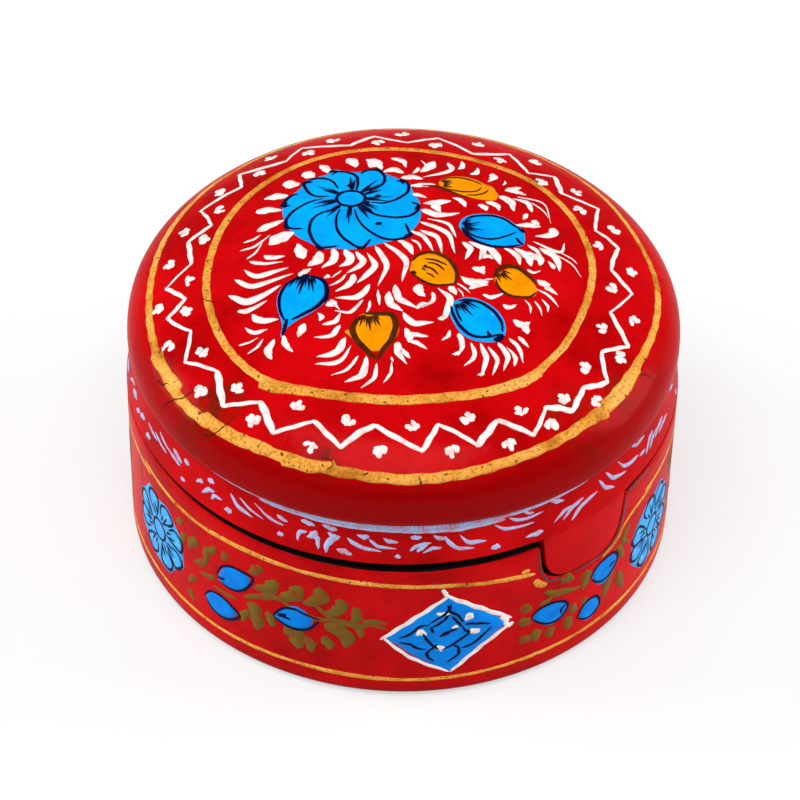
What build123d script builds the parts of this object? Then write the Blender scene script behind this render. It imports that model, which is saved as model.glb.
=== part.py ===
from build123d import *
from math import cos, sin, radians
import os

# Round papier mache box with a lift-off lid. Millimetres, +Z up, origin on the table at the
# middle of the base. The lid's key tab is in front, on -Y.

# Driving dimensions of the body
body_radius = 50.0
wall_thickness = 3.4
base_thickness = 3.0
rim_height = 33.8
foot_rounding = 2.0

# Inner neck ring, glued in the body and standing above its rim
collar_thickness = 1.8
collar_bottom = 14.0
collar_stand = 6.0
collar_edge_rounding = 0.5

# The hand-sawn rim bows away from the lid in front, and touches it at the back
rim_gap = 2.2
rim_gap_direction = -46.0
rim_flat_reach = 20.0

# Lid skirt, the slanted band under the crease
lid_clearance = 0.4
skirt_height = 7.7
crease_inset = 1.8

# Moulded cap with its rolled shoulder
cap_wall = 3.0
shoulder_inset = 0.4
shoulder_rise = 2.2
crown_rise = 15.2
crown_roundness = 2.7
shoulder_points = 7
cap_seat_width = 1.5

# Key tab under the skirt, and the notch that takes it
tab_half_angle = 11.0
tab_depth = 11.3
tab_side_lean = 1.6
tab_corner_rounding = 5.5
notch_gap_left = 0.9
notch_gap_right = 0.6
notch_floor_gap = 0.3

# Worked out from the driving dimensions
inner_radius = body_radius - wall_thickness
skirt_inner_radius = inner_radius + lid_clearance
collar_top = rim_height + collar_stand
crease_radius = body_radius - crease_inset
crease_height = rim_height + skirt_height
shoulder_radius = body_radius - shoulder_inset
shoulder_height = crease_height + shoulder_rise
cap_inner_radius = skirt_inner_radius - cap_seat_width
tab_half_width = body_radius * sin(radians(tab_half_angle))
tab_bottom = rim_height - tab_depth
reach = 2 * body_radius


def crown_curve(radius, rise):
    """Points of a superellipse that climbs from the shoulder to the middle of the crown."""
    power = 2 / crown_roundness
    points = []
    for step in range(shoulder_points):
        turn = radians(90 * step / (shoulder_points - 1))
        points.append(
            (radius * cos(turn) ** power, shoulder_height + rise * sin(turn) ** power)
        )
    points[-1] = (0, shoulder_height + rise)
    return points


def tab_outline(left_gap, right_gap, floor_gap, top):
    """Corners of the tab seen from in front, or of its notch when the gaps aren't zero."""
    low = tab_bottom - floor_gap
    return [
        (-tab_half_width - left_gap, top),
        (-tab_half_width - left_gap + tab_side_lean, low),
        (tab_half_width + right_gap - tab_side_lean, low),
        (tab_half_width + right_gap, top),
    ]


# Body wall: a drum of pasted paper with a soft foot, a bowed rim and a notch for the tab
with BuildPart() as body_wall:
    with BuildSketch(Plane.XZ):
        with BuildLine():
            Polyline(
                (inner_radius, 0),
                (body_radius, 0),
                (body_radius, rim_height),
                (inner_radius, rim_height),
                close=True,
            )
        make_face()
        foot_corner = vertices().group_by(Axis.Y)[0].sort_by(Axis.X)[-1]
        fillet(foot_corner, foot_rounding)
    revolve(axis=Axis.Z)
    gap_front = Plane.YZ.rotated((0, 0, rim_gap_direction))
    with BuildSketch(gap_front):
        bow_span = rim_flat_reach + body_radius
        bow_radius = (bow_span**2 + rim_gap**2) / (2 * rim_gap)
        with BuildLine():
            bow = RadiusArc(
                (rim_flat_reach, rim_height), (-body_radius, rim_height - rim_gap), -bow_radius
            )
            Polyline(
                bow @ 1,
                (-reach, rim_height - rim_gap),
                (-reach, rim_height + rim_gap),
                (rim_flat_reach, rim_height + rim_gap),
                bow @ 0,
            )
        make_face()
    extrude(amount=reach, both=True, mode=Mode.SUBTRACT)
    with BuildSketch(Plane.XZ):
        with BuildLine():
            notch_top = rim_height + rim_gap
            Polyline(
                *tab_outline(notch_gap_left, notch_gap_right, notch_floor_gap, notch_top),
                close=True,
            )
        make_face()
        notch_floor = vertices().group_by(Axis.Y)[0]
        fillet(notch_floor, tab_corner_rounding)
    extrude(amount=reach, mode=Mode.SUBTRACT)
body_wall.part.label = "body_wall"

# Base disc, glued into the foot of the wall
with BuildPart() as base_disc:
    with BuildSketch():
        Circle(inner_radius)
    extrude(amount=base_thickness)
base_disc.part.label = "base_disc"

# Collar: the neck ring that the lid slides over
with BuildPart() as collar:
    with BuildSketch(Plane.XY.offset(collar_bottom)):
        Circle(inner_radius)
        Circle(inner_radius - collar_thickness, mode=Mode.SUBTRACT)
    extrude(amount=collar_top - collar_bottom)
    collar_lip = collar.faces().sort_by(Axis.Z)[-1].edges()
    fillet(collar_lip, min(collar_edge_rounding, 0.4 * collar_thickness))
collar.part.label = "collar"

# Lid skirt: the band that slants in to the crease
with BuildPart() as lid_skirt:
    with BuildSketch(Plane.XZ):
        with BuildLine():
            Polyline(
                (skirt_inner_radius, rim_height),
                (body_radius, rim_height),
                (crease_radius, crease_height),
                (skirt_inner_radius, crease_height),
                close=True,
            )
        make_face()
    revolve(axis=Axis.Z)
lid_skirt.part.label = "lid_skirt"

# Key tab: a lug glued under the skirt, as thick as the skirt's foot
with BuildPart() as key_tab:
    with BuildSketch(Plane.XZ):
        with BuildLine():
            Polyline(*tab_outline(0, 0, 0, rim_height), close=True)
        make_face()
        tab_corners = vertices().group_by(Axis.Y)[0]
        fillet(tab_corners, tab_corner_rounding)
    extrude(amount=reach)
    with BuildSketch(Plane.XY.offset(tab_bottom)):
        Circle(body_radius)
        Circle(skirt_inner_radius, mode=Mode.SUBTRACT)
    extrude(amount=tab_depth, mode=Mode.INTERSECT)
key_tab.part.label = "key_tab"

# Lid top: the moulded cap, whose shoulder rolls out over the crease
with BuildPart() as lid_top:
    with BuildSketch(Plane.XZ):
        with BuildLine():
            outside = crown_curve(shoulder_radius, crown_rise)
            inside = crown_curve(cap_inner_radius, crown_rise - cap_wall)
            roll = TangentArc(
                (shoulder_radius, shoulder_height), (crease_radius, crease_height), tangent=(0, -1)
            )
            Spline(*outside, tangents=((0, 1), (-1, 0)))
            Line(outside[-1], inside[-1])
            Spline(*inside, tangents=((0, 1), (-1, 0)))
            Polyline(inside[0], (cap_inner_radius, crease_height), roll @ 1)
        make_face()
    revolve(axis=Axis.Z)
lid_top.part.label = "lid_top"

os.makedirs("parts", exist_ok=True)
export_step(body_wall.part, "parts/body_wall.step")
export_step(base_disc.part, "parts/base_disc.step")
export_step(collar.part, "parts/collar.step")
export_step(lid_skirt.part, "parts/lid_skirt.step")
export_step(key_tab.part, "parts/key_tab.step")
export_step(lid_top.part, "parts/lid_top.step")
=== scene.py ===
import math

import bmesh
import bpy
from mathutils import Matrix, Vector, noise
from mathutils.bvhtree import BVHTree


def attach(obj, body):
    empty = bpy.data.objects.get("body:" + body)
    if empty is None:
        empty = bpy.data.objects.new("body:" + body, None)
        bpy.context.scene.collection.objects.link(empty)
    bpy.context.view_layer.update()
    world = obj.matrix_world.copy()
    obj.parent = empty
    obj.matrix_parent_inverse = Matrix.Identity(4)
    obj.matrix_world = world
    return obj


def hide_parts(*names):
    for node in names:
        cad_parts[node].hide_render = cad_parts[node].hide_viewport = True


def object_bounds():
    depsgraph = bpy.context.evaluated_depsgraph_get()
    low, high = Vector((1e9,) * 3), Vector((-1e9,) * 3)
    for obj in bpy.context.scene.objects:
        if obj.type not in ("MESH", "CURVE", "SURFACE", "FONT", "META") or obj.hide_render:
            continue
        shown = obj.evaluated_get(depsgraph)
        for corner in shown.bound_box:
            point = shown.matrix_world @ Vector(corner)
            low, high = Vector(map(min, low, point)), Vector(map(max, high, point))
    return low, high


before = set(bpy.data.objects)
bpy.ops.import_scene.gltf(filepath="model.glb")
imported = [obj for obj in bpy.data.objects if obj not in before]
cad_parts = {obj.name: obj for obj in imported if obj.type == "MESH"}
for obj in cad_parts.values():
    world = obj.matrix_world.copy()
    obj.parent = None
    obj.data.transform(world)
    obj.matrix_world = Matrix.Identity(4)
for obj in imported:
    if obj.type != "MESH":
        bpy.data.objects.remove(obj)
cad_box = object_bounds()
mm = 0.001

# The photograph's view: a long lens from above, on the side to the left of the key tab.
# The painter's plan of the box is kept as it is seen from there, and is turned to the tab's frame.
view_turn = math.radians(-41.0)
view_elevation = math.radians(43.5)
view_roll = math.radians(1.3)
view_distance = 641.9 * mm
view_aim = Vector((-0.36 * mm, 0, 25.2 * mm))
view_lens = 157.5
from_plan = Matrix.Rotation(view_turn, 3, "Z")


def place_camera():
    back = Vector((0, -math.cos(view_elevation), math.sin(view_elevation)))
    flat_right = Vector((1, 0, 0))
    flat_up = back.cross(flat_right)
    right = flat_right * math.cos(view_roll) + flat_up * math.sin(view_roll)
    up = flat_up * math.cos(view_roll) - flat_right * math.sin(view_roll)
    lens = bpy.data.cameras.new("photo_camera")
    lens.lens = view_lens
    lens.sensor_width = 36
    lens.clip_start = 0.01
    camera = bpy.data.objects.new("photo_camera", lens)
    bpy.context.collection.objects.link(camera)
    axes = Matrix((from_plan @ right, from_plan @ up, from_plan @ back)).transposed()
    camera.matrix_world = Matrix.Translation(from_plan @ (view_aim + back * view_distance)) @ axes.to_4x4()
    bpy.context.scene.camera = camera


place_camera()


# Lid top: a moulded cap of pasted paper, sanded, painted bright red and oil varnished.
# The red deepens on the rolled shoulder outside the gold ring, partly in the paint and partly as painted
# shade deepest towards the front, and is patchy where the brush went twice.
box_radius = round(cad_box[1][0], 4)
cap_radius = 49.6 * mm
cap_lining_radius = 45.5 * mm
crown_power = 2 / 2.7
crown_rise = 15.2 * mm
lining_rise = 12.2 * mm
shoulder_height = 43.7 * mm
crease_height = 41.5 * mm
roll_radius = 2.43 * mm
roll_angle = math.radians(64.9)
crown_rows = 56
roll_rows = 8
worn_brown = (0.10, 0.012, 0.002)
dark_foot = (0.05, 0.004, 0.002)
sharp_fold = math.radians(50)


def new_material(name):
    material = bpy.data.materials.new(name)
    material.use_nodes = True
    nodes = material.node_tree.nodes
    shader = nodes["Principled BSDF"]
    return material, nodes, material.node_tree.links, shader


def speckle(nodes, links, coords, scale, detail=3.0, roughness=0.55):
    texture = nodes.new("ShaderNodeTexNoise")
    texture.inputs["Scale"].default_value = scale
    texture.inputs["Detail"].default_value = detail
    texture.inputs["Roughness"].default_value = roughness
    links.new(coords, texture.inputs["Vector"])
    return texture.outputs["Fac"]


def ramp(nodes, links, factor, stops):
    colours = nodes.new("ShaderNodeValToRGB")
    while len(colours.color_ramp.elements) < len(stops):
        colours.color_ramp.elements.new(0.5)
    for element, (place, colour) in zip(colours.color_ramp.elements, stops):
        element.position = place
        element.color = (*colour, 1)
    links.new(factor, colours.inputs["Fac"])
    return colours.outputs["Color"]


def mix(nodes, links, factor, first, second, blend="MIX"):
    node = nodes.new("ShaderNodeMix")
    node.data_type = "RGBA"
    node.blend_type = blend
    for value, socket in ((factor, 0), (first, 6), (second, 7)):
        if isinstance(value, bpy.types.NodeSocket):
            links.new(value, node.inputs[socket])
        elif socket == 0:
            node.inputs[socket].default_value = value
        else:
            node.inputs[socket].default_value = (*value, 1)
    return node.outputs[2]


def bump(nodes, links, height, shader, distance, strength):
    node = nodes.new("ShaderNodeBump")
    node.inputs["Distance"].default_value = distance
    node.inputs["Strength"].default_value = strength
    links.new(height, node.inputs["Height"])
    links.new(node.outputs["Normal"], shader.inputs["Normal"])
    links.new(node.outputs["Normal"], shader.inputs["Coat Normal"])


def worked(nodes, links, operation, first, second):
    node = nodes.new("ShaderNodeMath")
    node.operation = operation
    for value, socket in zip((first, second), node.inputs):
        if isinstance(value, bpy.types.NodeSocket):
            links.new(value, socket)
        else:
            socket.default_value = value
    return node.outputs[0]


def varnish(shader, roughness=0.35, gloss=0.12):
    """The oil varnish over all the paint: a thin, nearly clear coat."""
    shader.inputs["Roughness"].default_value = roughness
    shader.inputs["Specular IOR Level"].default_value = 0.01
    shader.inputs["Coat Weight"].default_value = 0.075
    shader.inputs["Coat Roughness"].default_value = gloss
    shader.inputs["Coat IOR"].default_value = 1.45


def measure(nodes, links, coords, spot=(0, 0, 0)):
    """Distance over the plan, from the middle of the box or from a spot."""
    flat = nodes.new("ShaderNodeVectorMath")
    flat.operation = "MULTIPLY"
    flat.inputs[1].default_value = (1, 1, 0)
    links.new(coords, flat.inputs[0])
    length = nodes.new("ShaderNodeVectorMath")
    length.operation = "DISTANCE"
    links.new(flat.outputs[0], length.inputs[0])
    length.inputs[1].default_value = spot
    return length.outputs["Value"]


def scaled(nodes, links, value, low, high, first, last):
    node = nodes.new("ShaderNodeMapRange")
    for socket, number in (("From Min", low), ("From Max", high), ("To Min", first), ("To Max", last)):
        node.inputs[socket].default_value = number
    links.new(value, node.inputs["Value"])
    return node.outputs[0]


def red_lacquer(name, bright, deep, dark, shoulder_paint_and_shade=None, smudges=()):
    """Patchy red paint under varnish, grimy in specks, darker towards the foot of the box, and on a shoulder,
    when given, darker paint with painted shade.
    """
    material, nodes, links, shader = new_material(name)
    coords = nodes.new("ShaderNodeTexCoord").outputs["Object"]
    middle = tuple((b + d) / 2 for b, d in zip(bright, deep))
    patches = ramp(
        nodes, links, speckle(nodes, links, coords, 60, 6, 0.62),
        [(0.28, dark), (0.4, deep), (0.5, middle), (0.64, bright)],
    )
    specks = speckle(nodes, links, coords, 700, 3, 0.6)
    grime = ramp(nodes, links, specks, [(0.3, (0.6, 0.5, 0.5)), (0.46, (1, 1, 1))])
    colour = mix(nodes, links, 0.3, patches, grime, "MULTIPLY")
    height = nodes.new("ShaderNodeSeparateXYZ")
    links.new(coords, height.inputs[0])
    # Darker towards the foot of the box, over its lowest few millimetres.
    near_foot = scaled(nodes, links, height.outputs["Z"], 0.3 * mm, 2.4 * mm, 0.75, 0)
    colour = mix(nodes, links, near_foot, colour, dark_foot)
    # Darker paint on the rolled shoulder, with painted shade on it that is strongest on the side facing the
    # front.
    if shoulder_paint_and_shade:
        start, shade, front = shoulder_paint_and_shade
        reach = measure(nodes, links, coords)
        facing = nodes.new("ShaderNodeVectorMath")
        facing.operation = "DOT_PRODUCT"
        facing.inputs[1].default_value = front / box_radius
        links.new(coords, facing.inputs[0])
        rolled = scaled(nodes, links, reach, start, start + 3 * mm, 0, 1)
        front_shade = scaled(nodes, links, facing.outputs["Value"], -0.1, 0.75, 0.25, 1)
        both = worked(nodes, links, "MULTIPLY", rolled, front_shade)
        colour = mix(nodes, links, both, colour, shade)
    for spot, size, strength in smudges:
        near = measure(nodes, links, coords, from_plan @ Vector((spot[0] * mm, spot[1] * mm, 0)))
        soft = scaled(nodes, links, near, size * 0.3, size, strength, 0)
        cloudy = speckle(nodes, links, coords, 420, 4, 0.7)
        blotch = ramp(nodes, links, cloudy, [(0.4, (0, 0, 0)), (0.6, (1, 1, 1))])
        where = worked(nodes, links, "MULTIPLY", soft, blotch)
        colour = mix(nodes, links, where, colour, worn_brown)
    links.new(colour, shader.inputs["Base Color"])
    waves = speckle(nodes, links, coords, 90, 5, 0.68)
    bump(nodes, links, waves, shader, 0.45 * mm, 0.6)
    varnish(shader)
    return material


front_way = from_plan @ Vector((0, -1, 0))
lid_red = red_lacquer(
    "lid_red_lacquer", (0.64, 0.0008, 0.003), (0.46, 0.0, 0.001), (0.29, 0.0, 0.0),
    # The shoulder colour stands for darker paint and painted shade.
    shoulder_paint_and_shade=(45.5 * mm, (0.30, 0.0, 0.0005), front_way),
    smudges=[
        ((-12.5, -44.1), 3 * mm, 1), ((-31.5, -31), 5.5 * mm, 0.9), ((36.9, -25.3), 3.5 * mm, 1),
        ((29.5, -32.5), 7 * mm, 0.6), ((-36.4, -32.3), 5 * mm, 0.5), ((-41.4, -22), 3 * mm, 0.5),
    ],
)


# Black lacquer for the linings, collar and floor; on the rim's top, the skirt's lower edge and the notch
# strokes the same black is painted shade.
def black_lacquer_and_shade():
    material, nodes, links, shader = new_material("black_lacquer_and_shade")
    coords = nodes.new("ShaderNodeTexCoord").outputs["Object"]
    brushed = speckle(nodes, links, coords, 220, 4)
    tone = ramp(nodes, links, brushed, [(0.3, (0.003, 0.002, 0.002)), (0.7, (0.010, 0.007, 0.006))])
    links.new(tone, shader.inputs["Base Color"])
    bump(nodes, links, brushed, shader, 0.15 * mm, 0.4)
    shader.inputs["Roughness"].default_value = 0.4
    shader.inputs["Specular IOR Level"].default_value = 0.25
    shader.inputs["Coat Weight"].default_value = 0.2
    shader.inputs["Coat Roughness"].default_value = 0.2
    return material


black_lining_and_shade = black_lacquer_and_shade()


def smooth_piece(name, bm, materials, body):
    """Makes a smooth piece of the mesh, which rides on its body."""
    mesh = bpy.data.meshes.new(name)
    bm.to_mesh(mesh)
    bm.free()
    for material in materials:
        mesh.materials.append(material)
    for face in mesh.polygons:
        face.use_smooth = True
    piece = bpy.data.objects.new(name, mesh)
    bpy.context.collection.objects.link(piece)
    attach(piece, body)
    return piece


def finished(name, bm, materials, body, stands_for):
    """A shell of pasted paper, with its folds kept sharp, which stands for a solid."""
    piece = smooth_piece(name, bm, materials, body)
    piece.data.set_sharp_from_angle(angle=sharp_fold)
    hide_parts(stands_for)
    return piece


moulding_error = 0.14 * mm
moulding_height = 25 * mm
moulding_pace = 1.7


def uneven(azimuth, height):
    """How far hand moulding leaves the surface from true, slowly varying round and up the box."""
    around = Vector((math.sin(azimuth), math.cos(azimuth), height / moulding_height)) * moulding_pace
    return moulding_error * noise.noise(around)


def turned(section, rows, black_rows, around=720):
    """A closed shell: a grid whose one side runs round the box, and the other along its section."""
    bm = bmesh.new()
    grid = bmesh.ops.create_grid(bm, x_segments=around, y_segments=rows, size=1)
    for vert in grid["verts"]:
        azimuth = math.pi * (vert.co.x + 1)
        radius, height = section(azimuth, round((vert.co.y + 1) / 2 * rows))
        vert.co = (radius * math.sin(azimuth), -radius * math.cos(azimuth), height)
    for index, face in enumerate(bm.faces):
        face.material_index = 1 if index // around in black_rows else 0
    bmesh.ops.remove_doubles(bm, verts=bm.verts, dist=0.004 * mm)
    bmesh.ops.recalc_face_normals(bm, faces=bm.faces)
    return bm


def crown_section(azimuth, row):
    """Down the outside of the cap, round the roll to the crease, and back up its inside."""
    if row <= crown_rows:
        turn = math.pi / 2 * (1 - row / crown_rows)
        radius = cap_radius * math.cos(turn) ** crown_power
        height = shoulder_height + crown_rise * math.sin(turn) ** crown_power
        dent = uneven(azimuth, height) * min(1, radius / (30 * mm))
        return max(radius + dent, 0), height + dent * 0.6
    if row <= crown_rows + roll_rows:
        turn = roll_angle * (row - crown_rows) / roll_rows
        radius = cap_radius - roll_radius + roll_radius * math.cos(turn)
        return radius + uneven(azimuth, shoulder_height), shoulder_height - roll_radius * math.sin(turn)
    if row == crown_rows + roll_rows + 1:
        return cap_lining_radius, crease_height
    turn = math.pi / 2 * (row - crown_rows - roll_rows - 2) / crown_rows
    radius = cap_lining_radius * math.cos(turn) ** crown_power
    return radius, shoulder_height + lining_rise * math.sin(turn) ** crown_power


crown_total = 2 * crown_rows + roll_rows + 2
bm = turned(crown_section, crown_total, range(crown_rows + roll_rows + 1, crown_total))
lid_cap = finished("lid_cap", bm, [lid_red, black_lining_and_shade], "lid", "lid_top")

# Lid skirt and key tab: the slanted band below the crease, and the lug glued under it.
# Both carry the darker side red, and catch a pale wash of light at the sides.
side_red = red_lacquer("side_red_lacquer", (0.62, 0.001, 0.003), (0.44, 0.0, 0.001), (0.26, 0.0, 0.0))
skirt_lining_radius = 47 * mm
crease_inset = 1.8 * mm
skirt_sag = 0.55 * mm
sag_direction = math.radians(-75)
skirt_rows = 10
skirt_middle = 37 * mm
tab_half_width = 9.54 * mm
tab_half_angle = math.radians(10.5)
tab_low = 22.5 * mm
tab_top = 33.8 * mm
tab_corner = 5.5 * mm
tab_lean = 1.6 * mm
tab_thickness = 3 * mm
side_slope = tab_lean / (tab_top - tab_low)
corner_reach = tab_corner * math.tan((math.pi / 2 - math.atan(side_slope)) / 2)


def tab_edge(height, gap=0.0, low=tab_low):
    """Half the width of the tab, or of its notch, at a height: leaning sides and rounded corners."""
    side = tab_half_width + gap - (tab_top - height) * side_slope
    above = max(height - low, 0)
    if above < corner_reach * math.cos(math.atan(side_slope)):
        start = tab_half_width + gap - tab_lean - corner_reach
        return min(side, start + math.sqrt(max(tab_corner**2 - (tab_corner - above) ** 2, 0)))
    return side


def skirt_section(azimuth, row):
    """Round the foot of the skirt, up its slanted face to the crease, and down its inside."""
    from_tab = abs(math.atan2(math.sin(azimuth), math.cos(azimuth)))
    soft = 0.4 * mm * min(1, max(0, (from_tab - tab_half_angle) / math.radians(3)))
    dent = uneven(azimuth, skirt_middle) * 0.6
    foot = tab_top - skirt_sag * max(0, math.cos(azimuth - sag_direction)) ** 2
    places = [(skirt_lining_radius, foot), (box_radius - soft + dent, foot), (box_radius + dent, foot + soft)]
    rise = crease_height - foot - soft
    for step in range(1, skirt_rows + 1):
        share = step / skirt_rows
        places.append((box_radius - crease_inset * share + dent, foot + soft + rise * share))
    places += [(skirt_lining_radius, crease_height), (skirt_lining_radius, foot)]
    return places[row]


# The skirt's inside and its lower edge are black; on the lower edge this is also painted shade for the gap
# over the rim.
bm = turned(skirt_section, skirt_rows + 4, (0, skirt_rows + 3))
skirt_band = finished("skirt_band", bm, [side_red, black_lining_and_shade], "lid", "lid_skirt")


def key_lug():
    bm = bmesh.new()
    grid = bmesh.ops.create_grid(bm, x_segments=40, y_segments=36, size=1)
    for vert in grid["verts"]:
        share = math.sin((vert.co.y + 1) * math.pi / 4)
        height = tab_low + (tab_top - tab_low) * (1 - math.cos(math.asin(share)))
        lean = math.asin(vert.co.x * tab_edge(height) / box_radius)
        radius = box_radius + uneven(lean, skirt_middle) * 0.6
        vert.co = (radius * math.sin(lean), -radius * math.cos(lean), height)
    bm.normal_update()
    bmesh.ops.reverse_faces(bm, faces=[face for face in bm.faces if face.normal.y > 0])
    piece = finished("key_lug", bm, [side_red], "lid", "key_tab")
    thick = piece.modifiers.new("thickness", "SOLIDIFY")
    thick.thickness = tab_thickness
    thick.offset = -1
    soft = piece.modifiers.new("soft_edge", "BEVEL")
    soft.width = 0.45 * mm
    soft.segments = 3
    soft.limit_method = "ANGLE"
    soft.angle_limit = sharp_fold
    return piece


tab_piece = key_lug()

# Body wall: the drum, painted with the same darker red down to its soft foot.
# Its rim was cut by hand and bows away from the lid in front; its top is black like the inside, and on the
# top this black is also painted shade for the gap under the lid.
wall_lining_radius = 46.6 * mm
foot_rounding = 2 * mm
foot_steps = 6
face_steps = 12
rim_softness = 0.35 * mm
rim_waver = 0.12 * mm
bow_direction = math.radians(-46)
bow_depth = 2.2 * mm
bow_reach = 20 * mm
bow_span = bow_reach + box_radius
bow_radius = (bow_span**2 + bow_depth**2) / (2 * bow_depth)
notch_reach = 13 * mm
notch_gap_left = 0.9 * mm
notch_gap_right = 0.6 * mm
notch_floor_gap = 0.3 * mm
saw_step = 0.1 * mm


def rim_at(azimuth):
    """Height of the rim: flat behind, bowed low in front, and cut away for the tab."""
    along_gap = -box_radius * math.cos(azimuth - bow_direction)
    rim = tab_top
    if along_gap < bow_reach:
        rim = tab_top - (bow_radius - math.sqrt(bow_radius**2 - (along_gap - bow_reach) ** 2))
    across = box_radius * math.sin(azimuth)
    if math.cos(azimuth) < 0 or abs(across) > notch_reach:
        return rim + rim_waver * noise.noise(Vector((math.sin(azimuth), math.cos(azimuth), 3.0)) * 6)
    low = tab_low - notch_floor_gap
    gap = notch_gap_left if across < 0 else notch_gap_right
    height = low
    while height < rim and tab_edge(height, gap, low) < abs(across):
        height += saw_step
    return min(height, rim)


rims = {}


def wall_section(azimuth, row):
    """Out along the foot, up the painted face, over the rim, and down the inside."""
    if azimuth not in rims:
        rims[azimuth] = rim_at(azimuth)
    rim = rims[azimuth]
    dent = uneven(azimuth, 10 * mm) * 0.8
    places = [(wall_lining_radius, 0.0)]
    for step in range(foot_steps + 1):
        turn = math.pi / 2 * step / foot_steps
        radius = box_radius - foot_rounding + foot_rounding * math.sin(turn)
        places.append((radius + dent * step / foot_steps, foot_rounding - foot_rounding * math.cos(turn)))
    for step in range(1, face_steps + 1):
        rise = (rim - rim_softness - foot_rounding) * step / face_steps
        places.append((box_radius + dent, foot_rounding + rise))
    places += [
        (box_radius - 0.3 * rim_softness + dent, rim - 0.3 * rim_softness),
        (box_radius - rim_softness + dent, rim), (wall_lining_radius, rim), (wall_lining_radius, 0.0),
    ]
    return places[row]


wall_rows = foot_steps + face_steps + 5
# The rim's top and the inside are black; on the rim's top this is also painted shade for the gap under the
# lid.
bm = turned(wall_section, wall_rows, (wall_rows - 2, wall_rows - 1), 1080)
body_drum = finished("body_drum", bm, [side_red, black_lining_and_shade], "box", "body_wall")


# Collar and floor of the box: a ring and a disc of pasted paper, glued into the wall.
# They are lined with black lacquer, brushed on thinly.
def dress(node, material):
    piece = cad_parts[node]
    piece.data.materials.clear()
    piece.data.materials.append(material)
    for face in piece.data.polygons:
        face.use_smooth = True
    piece.data.set_sharp_from_angle(angle=math.radians(40))


dress("collar", black_lining_and_shade)
dress("base_disc", black_lining_and_shade)


# Gold rings on the lid: brass powder paint, run round by hand while the box turned.
# The ends overlap in a small step, and dark flecks of the ground show through.
# Strokes on the lid are placed in millimetres on the plan that the painter sees from in front of the flower.
def surface_tree(*pieces):
    """What the brush lands on, read from the finished pieces with their modifiers."""
    ground = bmesh.new()
    depsgraph = bpy.context.evaluated_depsgraph_get()
    for piece in pieces:
        ground.from_mesh(piece.evaluated_get(depsgraph).to_mesh())
    tree = BVHTree.FromBMesh(ground)
    ground.free()
    return tree


crown_tree = surface_tree(lid_cap)
lid_tree = surface_tree(lid_cap, skirt_band, tab_piece)
body_tree = surface_tree(body_drum)
side_arc = math.radians(1) * box_radius / mm
above_lid = 100 * mm
beside_box = 80 * mm
inside_wall = 47.5 * mm


def lay_on_crown(spot, lift):
    """Where a spot of the plan meets the lid, lifted off it a little."""
    start = from_plan @ Vector((spot.x * mm, spot.y * mm, above_lid))
    place, facing, _, _ = crown_tree.ray_cast(start, Vector((0, 0, -1)))
    return place + facing * lift


def lay_on_side(spot, lift, tree):
    """Where a spot of the unrolled side, so far round and so far up, meets the box."""
    azimuth = math.radians(spot.x / side_arc)
    outward = from_plan @ Vector((math.sin(azimuth), -math.cos(azimuth), 0))
    start = outward * beside_box + Vector((0, 0, spot.y * mm))
    place, facing, _, _ = tree.ray_cast(start, -outward)
    if place is None or place.to_2d().length < inside_wall:
        place, facing = start + outward * (box_radius - beside_box), outward
    return place + facing * lift


def lay_on_skirt(spot, lift):
    return lay_on_side(spot, lift, lid_tree)


def lay_on_body(spot, lift):
    return lay_on_side(spot, lift, body_tree)


def on_line(points, along, closed=False):
    """Place and sideways direction on the smooth line through a few points, and its width where given."""
    count = len(points)
    spans = count if closed else count - 1
    span = min(int(along * spans), spans - 1)
    t = along * spans - span
    if closed:
        before, start, end, after = (points[(span + k) % count] for k in (-1, 0, 1, 2))
    else:
        start, end = points[span], points[span + 1]
        before = points[span - 1] if span else start * 2 - end
        after = points[span + 2] if span + 2 < count else end * 2 - start
    leave, arrive = (end - before) / 2, (after - start) / 2
    place = (
        start * (2 * t**3 - 3 * t**2 + 1) + leave * (t**3 - 2 * t**2 + t)
        + end * (3 * t**2 - 2 * t**3) + arrive * (t**3 - t**2)
    )
    going = (
        start * (6 * t**2 - 6 * t) + leave * (3 * t**2 - 4 * t + 1)
        + end * (6 * t - 6 * t**2) + arrive * (3 * t**2 - 2 * t)
    )
    going = going.to_2d() if going.length > 1e-9 else (end - start).to_2d()
    return place, Vector((-going.y, going.x)).normalized()


thinnest = 0.05
grid_merge = 0.002 * mm


def brush(bm, points, width, lay, lift, belly=0.5, full=0.6, steps=10, closed=False, ragged=0.08, rows=2):
    """One stroke: a strip bent along its line, a little ragged at its sides.

    The belly is how far along it is widest, and a low full makes its ends blunter.
    """
    line = [Vector(point) for point in points]
    grid = bmesh.ops.create_grid(bm, x_segments=steps, y_segments=rows, size=1)
    warp = math.log(0.5) / math.log(belly)
    for vert in grid["verts"]:
        along = (vert.co.x + 1) / 2
        place, across = on_line(line, along, closed)
        swell = 1 if closed else math.sin(math.pi * along**warp) ** full
        bristle = 1 + ragged * math.sin(round(along * steps) * 7.3 + vert.co.y * 2.1 + len(bm.verts))
        broad = place.z if len(place) == 3 else width
        half = max(broad * swell * bristle, thinnest) / 2
        vert.co = lay(place.to_2d() + across * half * vert.co.y, lift)


def fill(bm, outline, centre, lay, lift, around=48, rings=4):
    """A filled patch: rings of the smooth outline drawn in towards its centre."""
    line = [Vector(point) for point in outline]
    middle = Vector(centre)
    grid = bmesh.ops.create_grid(bm, x_segments=around, y_segments=rings, size=1)
    for vert in grid["verts"]:
        edge, _ = on_line(line, (vert.co.x + 1) / 2, True)
        share = (vert.co.y + 1) / 2
        vert.co = lay(middle.lerp(edge, share), lift)
    bmesh.ops.remove_doubles(bm, verts=grid["verts"], dist=grid_merge)


film = 0.1 * mm
box_heart = Vector((0, 0, 20 * mm))


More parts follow.
